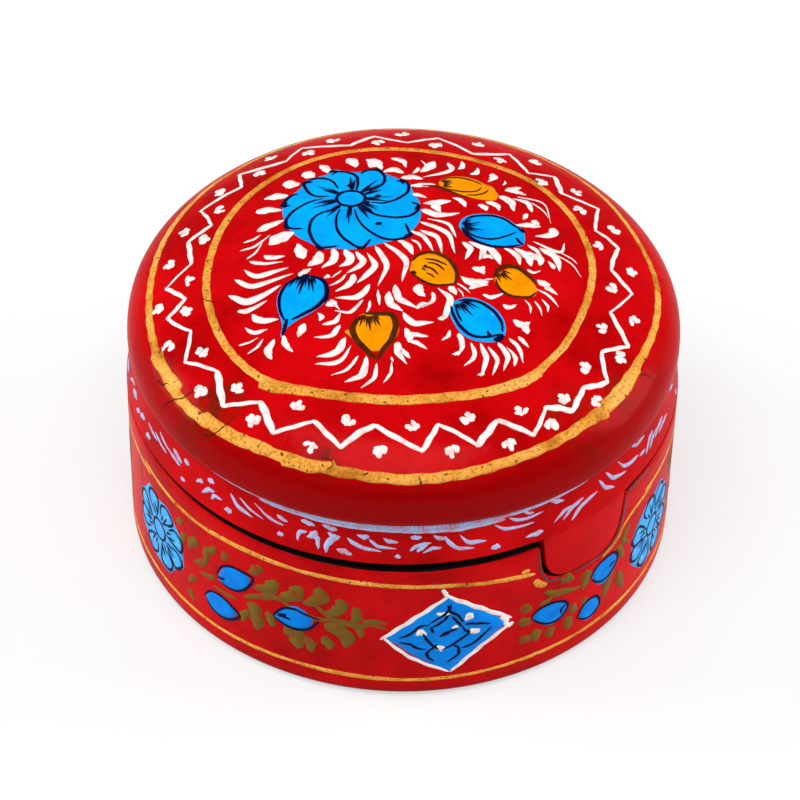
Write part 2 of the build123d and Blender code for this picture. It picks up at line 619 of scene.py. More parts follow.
def painted(name, bm, material, body):
    """Turns laid paint into a thin closed film that rides on its body."""
    bm.normal_update()
    turned_in = [face for face in bm.faces if face.normal.dot(face.calc_center_median() - box_heart) < 0]
    bmesh.ops.reverse_faces(bm, faces=turned_in)
    piece = smooth_piece(name, bm, [material], body)
    coat = piece.modifiers.new("film", "SOLIDIFY")
    coat.thickness = film
    coat.offset = -1


def paint(name, colour, shade, scale=260, low=0.35, high=0.65):
    material, nodes, links, shader = new_material(name)
    coords = nodes.new("ShaderNodeTexCoord").outputs["Object"]
    brushed = speckle(nodes, links, coords, scale, 5, 0.65)
    links.new(ramp(nodes, links, brushed, [(low, shade), (high, colour)]), shader.inputs["Base Color"])
    bump(nodes, links, brushed, shader, 0.06 * mm, 0.5)
    varnish(shader)
    return material


def gold_paint():
    material, nodes, links, shader = new_material("gold_paint")
    coords = nodes.new("ShaderNodeTexCoord").outputs["Object"]
    worn = ramp(
        nodes, links, speckle(nodes, links, coords, 170, 4),
        [(0.32, (0.54, 0.19, 0.02)), (0.47, (0.84, 0.36, 0.05)), (0.68, (0.94, 0.48, 0.11))],
    )
    grain = speckle(nodes, links, coords, 1900, 2, 0.6)
    grainy = ramp(nodes, links, grain, [(0.36, (0.62, 0.55, 0.45)), (0.5, (1, 1, 1))])
    tone = mix(nodes, links, 0.9, worn, grainy, "MULTIPLY")
    bare_spots = speckle(nodes, links, coords, 1250, 1, 0.3)
    flecks = ramp(nodes, links, bare_spots, [(0.25, (1, 1, 1)), (0.3, (0, 0, 0))])
    links.new(mix(nodes, links, flecks, tone, (0.10, 0.03, 0.004)), shader.inputs["Base Color"])
    shader.inputs["Metallic"].default_value = 0.1
    bump(nodes, links, grain, shader, 0.04 * mm, 0.5)
    varnish(shader, 0.45, 0.2)
    return material


gold = gold_paint()
gold_lift = 0.04 * mm
over_lift = 0.01 * mm
inner_broad = 1.9
outer_broad = 1.55
inner_ring = [
    (0, -33.2, 1.9), (10, -31.8, 1.9), (17, -29.6, 1.9), (21.6, -27, 1.9), (24.6, -23.4, 1.3),
    (28.2, -18, 1.3), (31.1, -10.5, 1.3), (32.9, -3, 1.3), (33.2, 4, 1.3), (31.6, 11.5, 1.25),
    (28.4, 18.6, 1.2), (23.6, 24.8, 1.2), (17.6, 29, 1.2), (9, 32.4, 1.2), (0, 34, 1.2), (-8, 33.8, 1.2),
    (-14.8, 32, 1.2), (-20.5, 28.8, 1.2), (-25.8, 23.8, 1.25), (-30, 17.8, 1.3), (-33, 10.8, 1.35),
    (-34.6, 3.2, 1.35), (-35, -4, 1.35), (-34, -10.8, 1.35), (-31.8, -17.6, 1.35), (-28.4, -23.4, 1.4),
    (-23.8, -28, 1.5), (-18, -30.6, 1.8), (-9, -32.6, 1.9),
]
outer_ring = [
    (0, -46.7, 1.35), (10, -45.4, 1.35), (18.5, -42.2, 1.35), (26, -37.8, 1.4), (32.4, -32, 1.5),
    (37.0, -25.8, 1.6), (40.9, -18.4, 1.4), (43.8, -10.4, 1.15), (45, -3, 1.1), (44.8, 4, 1.0),
    (43, 11, 0.9), (40.2, 18, 0.9), (36.6, 25, 0.9), (31.4, 31.6, 0.9), (24.8, 37, 0.8), (17, 41.2, 0.8),
    (8.4, 43.8, 0.8), (0, 44.6, 0.8), (-8.6, 43.8, 0.8), (-17.4, 41.2, 0.8), (-25, 37.4, 0.9),
    (-31.4, 32, 0.9), (-36.8, 26, 1.0), (-40.8, 19, 1.1), (-43.6, 11.4, 1.15), (-44.9, 4, 1.2),
    (-45.2, -3.4, 1.2), (-44.6, -10.6, 1.2), (-42.8, -18, 1.25), (-39.6, -25.6, 1.3), (-35, -31.8, 1.3),
    (-29, -36.7, 1.5), (-21.5, -41.3, 1.4), (-11, -45.2, 1.4),
]
ring_restarts = [
    [(15.6, -30.1), (20, -28), (24, -25)], [(-24.6, -28.6), (-21.6, -30), (-15, -31.4)],
    [(-34.4, -31.8), (-29, -36.9), (-21.4, -41.2)], [(-20.6, -42.2), (-15, -44.2), (-10.8, -44.6)],
    [(32.2, -32.4), (37.6, -26), (41.2, -18.6)], [(30.4, -34), (33, -31.6), (35.6, -29.6)],
    [(-43.9, -16.6), (-40.8, -22.4), (-38.2, -26.4)],
]
bm = bmesh.new()
brush(bm, inner_ring, 0, lay_on_crown, gold_lift, steps=340, closed=True, ragged=0.06, rows=4)
brush(bm, outer_ring, 0, lay_on_crown, gold_lift, steps=440, closed=True, ragged=0.1, rows=4)
for index, stroke in enumerate(ring_restarts):
    broad = inner_broad if index < 2 else outer_broad
    brush(bm, stroke, broad, lay_on_crown, gold_lift + over_lift, full=0.08, steps=16, rows=4)
bmesh.ops.remove_doubles(bm, verts=bm.verts, dist=grid_merge)
strayed_hair = [(-42.2, -16.4), (-41.6, -19.4), (-40.2, -23.2), (-38, -27.2)]
brush(bm, strayed_hair, 0.4, lay_on_crown, gold_lift, steps=24)
painted("lid_gold_rings", bm, gold, "lid")

# White zigzag between the gold rings: one rigger-brush line, turned at each point by a pause of the hand.
# A small three-dot leaf sits in each angle, inside and outside the line.
white = paint("white_paint", (0.92, 0.86, 0.83), (0.80, 0.44, 0.40), 520, 0.24, 0.5)
white_lift = 0.045 * mm
zigzag = [
    (-24.1, -32.4), (-21.8, -38.2), (-14.8, -37.0), (-10.1, -41.9), (-4.5, -38.2), (3.6, -42.5), (6.2, -37.7),
    (12.9, -40.8), (16.3, -35.9), (22.5, -37.5), (24.5, -32.3), (29.2, -31.8), (31.3, -26.6), (35.4, -24.3),
    (34.5, -18.3), (39.3, -15.5), (36.2, -8.7), (40.3, -2.5), (36.7, 2.6), (38.2, 9.1), (34.1, 13.0),
    (34.9, 20.5), (28.2, 23.1), (27.1, 28.8), (22.2, 28.6), (18.8, 35.3), (11.9, 33.7), (5.6, 39.4),
    (0, 36.8), (-6.3, 39.7), (-10.7, 35.8), (-19.5, 36.4), (-22.3, 31.3), (-30.8, 28.8), (-30.1, 23.6),
    (-37.3, 17.7), (-35, 12.2), (-38.9, 8.6), (-38, 1.9), (-42.2, -3.1), (-38.6, -6.9), (-41.5, -10.6),
    (-37.1, -15), (-37.8, -21.4), (-31.9, -25), (-30.6, -31.8), (-24.1, -32.4),
]
inner_dots = [
    (-17.9, -34.1), (-9.1, -37.6), (1.8, -38.5), (11.6, -36.2), (20.4, -33.9), (27.9, -30), (31.8, -22.5),
    (34.9, -13.1), (37, -2.3), (34.9, 8.6), (31.5, 18.9), (24.8, 26.2), (17.3, 32.4), (4.9, 36.4),
    (-5.5, 37.1), (-18.4, 34), (-27.2, 28), (-34, 16.9), (-36.4, 8.1), (-38.5, -2.3), (-38.4, -10.3),
    (-35, -20.4), (-28.5, -29.2),
]
outer_dots = [
    (-25.4, -35.1), (-15.1, -41), (-3.7, -42.4), (8.5, -41.9), (18.3, -39.5), (25.3, -34.8), (33.3, -28.4),
    (37.5, -18.6), (40.1, -9), (40.1, 3.4), (37.5, 14.3), (30.7, 24.6), (23.5, 33.4), (12.9, 37.8),
    (-0.8, 40.6), (-13.8, 38.4), (-25.2, 33.4), (-33.7, 23.3), (-39.6, 11.7), (-41.7, 3.2), (-43, -7.5),
    (-40.7, -16.8), (-34.7, -27.6),
]


def wobble(index, size):
    """A small repeatable unevenness of the hand."""
    return size * math.sin(index * 12.9898) * math.cos(index * 4.1414)


def dot_leaf(bm, spot, index, size, lay, lift, outward):
    """Three short dabs that touch: two side by side and one pointing away."""
    middle = Vector(spot)
    away = middle.normalized() * outward
    side = Vector((-away.y, away.x))
    for sideways, forward, length in ((-0.5, 0.1, 0.9), (0.5, 0.0, 0.9), (0.05, 0.6, 0.8)):
        lean = wobble(index + forward * 7, 0.35)
        dab = middle + side * (sideways * size + lean * 0.4) + away * forward * size
        reach = (away * (0.5 + lean) + side * sideways * 0.9).normalized() * length * size * 0.62
        stroke = [dab - reach * 1.2, dab + side * lean, dab + reach * 1.1]
        brush(bm, stroke, size * (0.85 + lean * 0.8), lay, lift, full=0.4, steps=8, ragged=0.2)


front_width = 0.95
back_width = 0.72
turn_overlap = 0.35
front_edge = -24
dab_size = 1.25
bm = bmesh.new()
for index in range(len(zigzag) - 1):
    start, end = Vector(zigzag[index]), Vector(zigzag[index + 1])
    run = (end - start).normalized()
    bow = Vector((-run.y, run.x)) * wobble(index, 0.35)
    pressed = front_width if start.y < front_edge else back_width
    brush(
        bm, [start - run * turn_overlap, (start + end) / 2 + bow, end + run * turn_overlap],
        pressed + wobble(index + 3, 0.3), lay_on_crown, white_lift, belly=0.45 + wobble(index, 0.12),
        full=0.22, steps=14, ragged=0.14,
    )
for index, spot in enumerate(inner_dots):
    dot_leaf(bm, spot, index, dab_size, lay_on_crown, white_lift, -1)
for index, spot in enumerate(outer_dots):
    dot_leaf(bm, spot, index + 40, dab_size, lay_on_crown, white_lift, 1)
painted("lid_white_zigzag", bm, white, "lid")

# Blue pinwheel flower: one pool of bright blue, then navy petal lines swept round a small eye.
# Short navy hatching shades each petal where it leaves the eye.
blue = paint("blue_paint", (0.0, 0.40, 0.96), (0.0, 0.29, 0.86), 200, 0.3, 0.6)
navy = paint("navy_paint", (0.001, 0.004, 0.045), (0.0, 0.002, 0.02), 500)
blue_lift = 0.03 * mm
line_lift = 0.06 * mm
flower_edge = [
    (2.6, 14), (2.3, 17), (1.1, 20), (0.4, 22.6), (-2, 24.1), (-4, 25.4), (-5.6, 26.8), (-7.2, 26.6),
    (-8.6, 25.9), (-11, 26.1), (-13.4, 26.9), (-14.2, 25.6), (-16, 24.7), (-18.3, 23.6), (-18.9, 22),
    (-20, 20.1), (-21.3, 18.6), (-22.1, 16.5), (-22.3, 14), (-21.8, 11.5), (-20.9, 9), (-19.2, 6.6),
    (-17, 4.9), (-15, 3.3), (-12.4, 3.3), (-10, 3.0), (-7.5, 3.6), (-5, 4.6), (-2, 5.7), (0, 6.5),
    (1, 8.2), (2.1, 10.5), (2.6, 12.4),
]
flower_eye = (-10.05, 17.6)
petal_lines = [
    [(-9.1, 20), (-8.9, 22.6), (-9.3, 24.6), (-10.8, 25.8), (-12.6, 26.1), (-13.8, 25.1)],
    [(-8.5, 25.3), (-7.2, 26.5), (-5.2, 26.3), (-4.1, 24.4), (-4.4, 22), (-6, 20.5), (-7.6, 19.8)],
    [(-2, 22.9), (-0.5, 23), (0.3, 21.9), (0.1, 19.6), (-1.6, 17.6), (-4, 16.3), (-6.6, 16.4)],
    [(0.8, 16.7), (2.2, 15.8), (1.9, 14), (0.4, 12.6), (-2, 12.1), (-5, 12.7), (-7, 13.9), (-8.8, 15.5)],
    [(-0.1, 10.6), (0.3, 9), (0.8, 7.4), (-0.5, 6.3), (-2.5, 5.9), (-4.5, 6.5), (-7, 8.7), (-8.7, 11.7),
     (-9.3, 14.6)],
    [(-6.2, 6.1), (-7.1, 4.2), (-8, 3.5), (-9.6, 4.6), (-11.5, 6.8), (-12.4, 9.2), (-12.5, 12),
     (-11.9, 14.6)],
    [(-12.1, 4), (-13.8, 3.6), (-15.2, 3.7), (-16.5, 5.6), (-17.2, 8.2), (-17, 11), (-15.6, 13.1),
     (-12.4, 14.9)],
    [(-18.4, 8.9), (-20.5, 9.1), (-21.4, 10), (-21.4, 12), (-20, 14.5), (-17.6, 16.6), (-14.9, 17.8)],
    [(-20.9, 15.9), (-22.4, 15.8), (-21.8, 17.6), (-20.7, 19), (-19.6, 19.4)],
    [(-17.1, 23), (-18.6, 22.6), (-18.3, 20.9), (-17.5, 19.3), (-16.2, 18.4), (-13.9, 18.3)],
    [(-18.2, 23.2), (-16.6, 24.1), (-14.8, 23.9), (-13.4, 22.8), (-12.4, 20.6)],
]
petal_tips = [
    (-13.5, 26.3), (-5.2, 26.5), (-0.8, 23), (2.1, 15.2), (0.6, 7.2), (-8, 3.5), (-15.3, 3.4), (-21.5, 9.6),
    (-22, 16.1), (-18.6, 22.9),
]
bm = bmesh.new()
fill(bm, flower_edge, flower_eye, lay_on_crown, blue_lift, around=160, rings=8)
painted("flower_blue", bm, blue, "lid")


def pointing(turn):
    return Vector((math.cos(turn), math.sin(turn)))


def hatch(bm, centre, start, directions, lengths, width, lay, lift):
    """Fine strokes that leave a centre side by side, in degrees, each a little longer or shorter."""
    for index, degrees in enumerate(directions):
        out = pointing(math.radians(degrees))
        length = lengths[index % len(lengths)]
        near = Vector(centre) + out * start
        brush(
            bm, [near, near + out * length * 0.5, near + out * length], width * (1 + wobble(index, 0.4)),
            lay, lift, belly=0.3, steps=5,
        )


petal_line = 0.62
tip_reach = 0.9
tip_width = 0.9
bm = bmesh.new()
for line in petal_lines:
    brush(bm, line, petal_line, lay_on_crown, line_lift, belly=0.4, full=0.3, steps=36)
for spot in petal_tips:
    tip = Vector(spot)
    inward = (Vector(flower_eye) - tip).normalized()
    side = Vector((-inward.y, inward.x)) * tip_reach
    hook = [tip - side, tip, tip + side + inward * 0.5]
    brush(bm, hook, tip_width, lay_on_crown, line_lift + over_lift, steps=6)
eye_ring = [
    Vector(flower_eye) + Vector((2.6 * math.cos(math.tau * k / 8), 2.3 * math.sin(math.tau * k / 8)))
    for k in range(8)
]
brush(bm, eye_ring, petal_line, lay_on_crown, line_lift, steps=40, closed=True)
hatch_turns = [
    -96, -92, -88, -60, -56, -50, -46, -42, -128, -132, -136, -158, -163, -168, -172, 152, 147, 142, 92, 88,
    84, 50, 45, 40, 30, 25, 4, -1, -6, -28, -34,
]
hatch(bm, flower_eye, 2.5, hatch_turns, (3.6, 5.0, 2.8, 4.3, 3.2), 0.42, lay_on_crown, line_lift + over_lift)
dab_reach = Vector((0.6, 0.2))
for spot in ((-10, 15.2), (-6.3, 19.6), (-5.2, 18.3), (-10.3, 21.6), (-4.9, 10.3), (-7.2, 16.4)):
    dab = [Vector(spot) - dab_reach, spot, Vector(spot) + dab_reach]
    brush(bm, dab, 0.9, lay_on_crown, line_lift + over_lift, full=0.4, steps=6)
painted("flower_navy_lines", bm, navy, "lid")

# Hairline cracks in the varnish: they cross the gold rings and run on into the red.
# Handling has rubbed dirt into them, so they read as fine brown lines.
crack_width = 0.19
crack_brown = paint("crack_brown", (0.10, 0.014, 0.003), (0.04, 0.006, 0.001), 700)
cracks = [
    [(-41.6, -26.4), (-39.4, -27.2), (-37.6, -27.8), (-35, -27)],
    [(-34.4, -34.2), (-32.6, -35.4), (-30.5, -35.2), (-28.4, -34)],
    [(-36.2, -7.4), (-35.2, -8), (-33.6, -8.9), (-32.4, -8.8)], [(41, -20.5), (42, -19.9), (43.2, -19.5)],
    [(-13.8, -43.2), (-12.4, -43.4), (-11.4, -44.4), (-12.6, -45)],
    [(-38.2, 24.4), (-39.4, 22.4), (-40.6, 22.6)], [(-40.6, -24), (-41.8, -23.4), (-42.6, -22)],
    [(3, -46.2), (3.6, -47.2), (3.2, -48.2)],
]
bm = bmesh.new()
for crack in cracks:
    brush(bm, crack, crack_width, lay_on_crown, line_lift, full=0.3, steps=14, ragged=0.4)
painted("lid_varnish_cracks", bm, crack_brown, "lid")

# Seven buds round the flower: three blue with navy lines and four orange with brown lines.
# Each is a leaf-shaped dab, outlined in one or two heavy strokes and hatched at its stem.
orange = paint("orange_paint", (0.95, 0.34, 0.0), (0.80, 0.24, 0.0), 260, 0.3, 0.65)
brown = paint("brown_paint", (0.11, 0.022, 0.001), (0.05, 0.008, 0.0), 420)


def bud(fills, lines, edge, middle, outlines, stem, aim, spread, count, length, width):
    """One bud: its fill, its outline strokes, and the hatching that leaves the stem."""
    fill(fills, edge, middle, lay_on_crown, blue_lift, around=64, rings=4)
    for outline, weight in outlines:
        brush(lines, outline, weight, lay_on_crown, line_lift, belly=0.5, full=0.3, steps=28)
    out = pointing(math.radians(aim))
    for k in range(count):
        share = k / max(count - 1, 1) - 0.5
        lean = math.radians(aim + spread * share)
        near = Vector(stem) + Vector((-out.y, out.x)) * share * length * 0.62 + out * (0.3 - abs(share) * 0.6)
        reach = length * (1.15, 0.65, 0.95)[k % 3] * (1 - abs(share) * 0.5)
        far = near + pointing(lean) * reach
        brush(
            lines, [near, near.lerp(far, 0.5), far], width * (1.1 + wobble(k, 0.4)), lay_on_crown,
            line_lift + over_lift, belly=0.25, full=0.7, steps=6,
        )


blues, navies = bmesh.new(), bmesh.new()
bud(
    blues, navies,
    [(9.5, 10.6), (10.3, 12.6), (12.3, 13.8), (15, 14.1), (17.6, 13.4), (19.8, 11.4), (21, 10), (21.3, 7.4),
     (20.8, 5.8), (18.6, 5.1), (16.4, 4.9), (13.6, 5.7), (11.4, 7.2), (10, 9)],
    (15.4, 9.6),
    [([(10.4, 11.2), (11.2, 12.6), (13, 13.4), (15.4, 13.6), (17.6, 12.9), (19.4, 11.2), (20.7, 10.2)], 0.55),
     ([(9.9, 10), (10.8, 8), (12.6, 6.2), (15, 5.1), (17.6, 5), (20.7, 5.9)], 0.75),
     ([(10.6, 8.6), (12.8, 7.3), (15.4, 7), (17.6, 7.9), (19.8, 9.4)], 0.5),
     ([(20.2, 10.4), (20.9, 9.9), (21.2, 9.4)], 0.8), ([(19.7, 7.8), (20.3, 6.7), (21, 6)], 0.6)],
    stem=(10, 9.9), aim=4, spread=60, count=9, length=3.4, width=0.4,
)
bud(
    blues, navies,
    [(8, -10.8), (9.6, -9.4), (11.4, -8.8), (13.8, -9.6), (16, -11.4), (17.4, -14), (17.7, -16.8),
     (16.8, -19), (14.4, -19.6), (11.8, -19.2), (9.8, -17.6), (8.4, -14.8), (7.9, -12.6)],
    (12.8, -14.2),
    [([(9.4, -9.8), (11.4, -9.5), (13.6, -10.2), (15.6, -12), (16.9, -14.4), (17.2, -17)], 0.65),
     ([(8.1, -11), (8.6, -13.4), (9.6, -15.8), (11.2, -17.8), (13, -18.5), (15, -18.2), (17, -17.4)], 0.7),
     ([(9, -11.8), (9.5, -13.6), (10.1, -15)], 0.45), ([(15.6, -19), (16.6, -18.6), (17.1, -17.4)], 1.3),
     ([(14.5, -16.9), (14.8, -17.7), (15.2, -18)], 0.6)],
    stem=(9.6, -10), aim=-50, spread=46, count=8, length=3.6, width=0.4,
)
bud(
    blues, navies,
    [(-17.3, -3.7), (-15, -4.4), (-13.6, -6), (-13.3, -8.6), (-14, -11), (-16, -13.2), (-18.4, -15),
     (-20.2, -16.8), (-20.9, -18.8), (-21.3, -18.6), (-21.1, -16.2), (-21.9, -13), (-22.3, -10.2),
     (-21.8, -7.4), (-20.4, -5.2), (-18.8, -4.1)],
    (-17.9, -9.2),
    [([(-17.6, -3.9), (-19.8, -5), (-21.4, -7.4), (-21.9, -10.4), (-21.4, -13.4), (-20.6, -15.2)], 0.6),
     ([(-17, -3.9), (-14.8, -4.8), (-13.7, -6.8), (-13.8, -9.6), (-15.4, -12), (-17.8, -13.8), (-19.6, -15)],
      0.85), ([(-20.3, -14.6), (-20.6, -16.6), (-21, -18.6)], 0.7),
     ([(-13.5, -8.6), (-13.8, -10), (-14.6, -11)], 0.9),
     ([(-18.1, -4.3), (-17.4, -4.1), (-16.8, -4.4)], 1.3)],
    stem=(-17.4, -4), aim=-98, spread=44, count=8, length=4.2, width=0.45,
)
painted("lid_blue_buds", blues, blue, "lid")
painted("lid_blue_bud_lines", navies, navy, "lid")
oranges, browns = bmesh.new(), bmesh.new()
bud(
    oranges, browns,
    [(5.8, 23), (7.2, 24.7), (9.4, 25.2), (12, 24.7), (14.2, 23.2), (15.6, 22.4), (16.2, 21), (16.6, 19.8),
     (15.8, 18.3), (13.2, 18.3), (10.8, 19), (8.2, 20.2), (6.4, 21.4)],
    (10.8, 21.9),
    [([(6, 23.2), (7.4, 24.5), (9.6, 24.7), (12, 24), (13.6, 22.9)], 0.4),
     ([(2.6, 21.7), (4.6, 21.8), (6.6, 21.1), (9, 19.6), (11.6, 18.5)], 0.5),
     ([(5.2, 22), (7.6, 20.9), (10.4, 20.4), (12.6, 20.8), (13.6, 22)], 0.4),
     ([(10.8, 19.4), (12.6, 19.6), (14, 20.3), (14.8, 21.4)], 0.4)],
    stem=(6.4, 22.5), aim=4, spread=22, count=4, length=2.2, width=0.5,
)
bud(
    oranges, browns,
    [(1, -1), (1.6, 1.2), (3.4, 2.3), (5.4, 2.3), (7.4, 1), (8.7, -1.2), (9.2, -3.8), (8.4, -5.6), (6.4, -6),
     (4.6, -5.6), (2.6, -4.3), (1, -2.8)],
    (5, -1.9),
    [([(1.2, 0.2), (2.2, 1.8), (4, 2.7), (6, 2.3), (7.8, 0.8), (9, -1.8), (9.1, -4.4), (8.7, -5.6)], 0.8),
     ([(0.9, -2.6), (2, -3.9), (3.6, -5.3), (5.4, -6), (7.4, -5.8), (9, -5.3)], 0.55),
     ([(1.2, -2.4), (1.5, -2.8), (1.9, -3.2)], 0.9), ([(3.4, 0.9), (5.4, 0.6), (7.4, -0.6)], 0.5),
     ([(3.9, 0), (5.6, -0.5), (7, -2)], 0.45), ([(3, -1.2), (4.6, -1.6), (5.9, -3.2)], 0.5),
     ([(3.7, -2.8), (4.6, -3.3), (5.2, -4)], 0.4)],
    stem=(3.1, -1.2), aim=-25, spread=24, count=2, length=1.4, width=0.4,
)
bud(
    oranges, browns,
    [(16.9, -1.8), (18.4, -0.7), (20.2, -1), (22, -3), (23.2, -5.4), (22.8, -7.4), (21, -8), (19, -7.8),
     (17, -6.4), (15.9, -4.6), (15.9, -3)],
    (19.6, -4.4),
    [([(15.8, -3.4), (16.4, -1.2), (18, -0.1), (20, -0.4), (21.8, -2.2), (23.2, -4.2)], 0.95),
     ([(16, -3.6), (16.4, -5.6), (17.8, -7.4), (19.8, -8), (22, -7.7), (23.2, -6.4)], 0.6)],
    stem=(16.6, -1.9), aim=-46, spread=40, count=6, length=2.6, width=0.4,
)
bud(
    oranges, browns,
    [(-8.9, -17.2), (-10.2, -18), (-9, -19.4), (-7.6, -21.4), (-5.6, -22.6), (-3, -22), (-1.4, -19.6),
     (-0.8, -16.8), (-1.6, -14.4), (-4, -13.3), (-6.6, -13.5), (-8.4, -15)],
    (-5, -18),
    [([(-6.6, -13.9), (-8.4, -15.6), (-8.8, -18.2), (-7.6, -20.8), (-5.8, -23), (-4.6, -24.6)], 1.15),
     ([(-7, -13.6), (-4.4, -13.6), (-2, -14), (-1.4, -16.6), (-2, -19.6), (-3.4, -22.2), (-4.5, -24.8)],
      1.15)],
    stem=(-6, -13.9), aim=-82, spread=40, count=8, length=3.4, width=0.4,
)
painted("lid_orange_buds", oranges, orange, "lid")
painted("lid_orange_bud_lines", browns, brown, "lid")

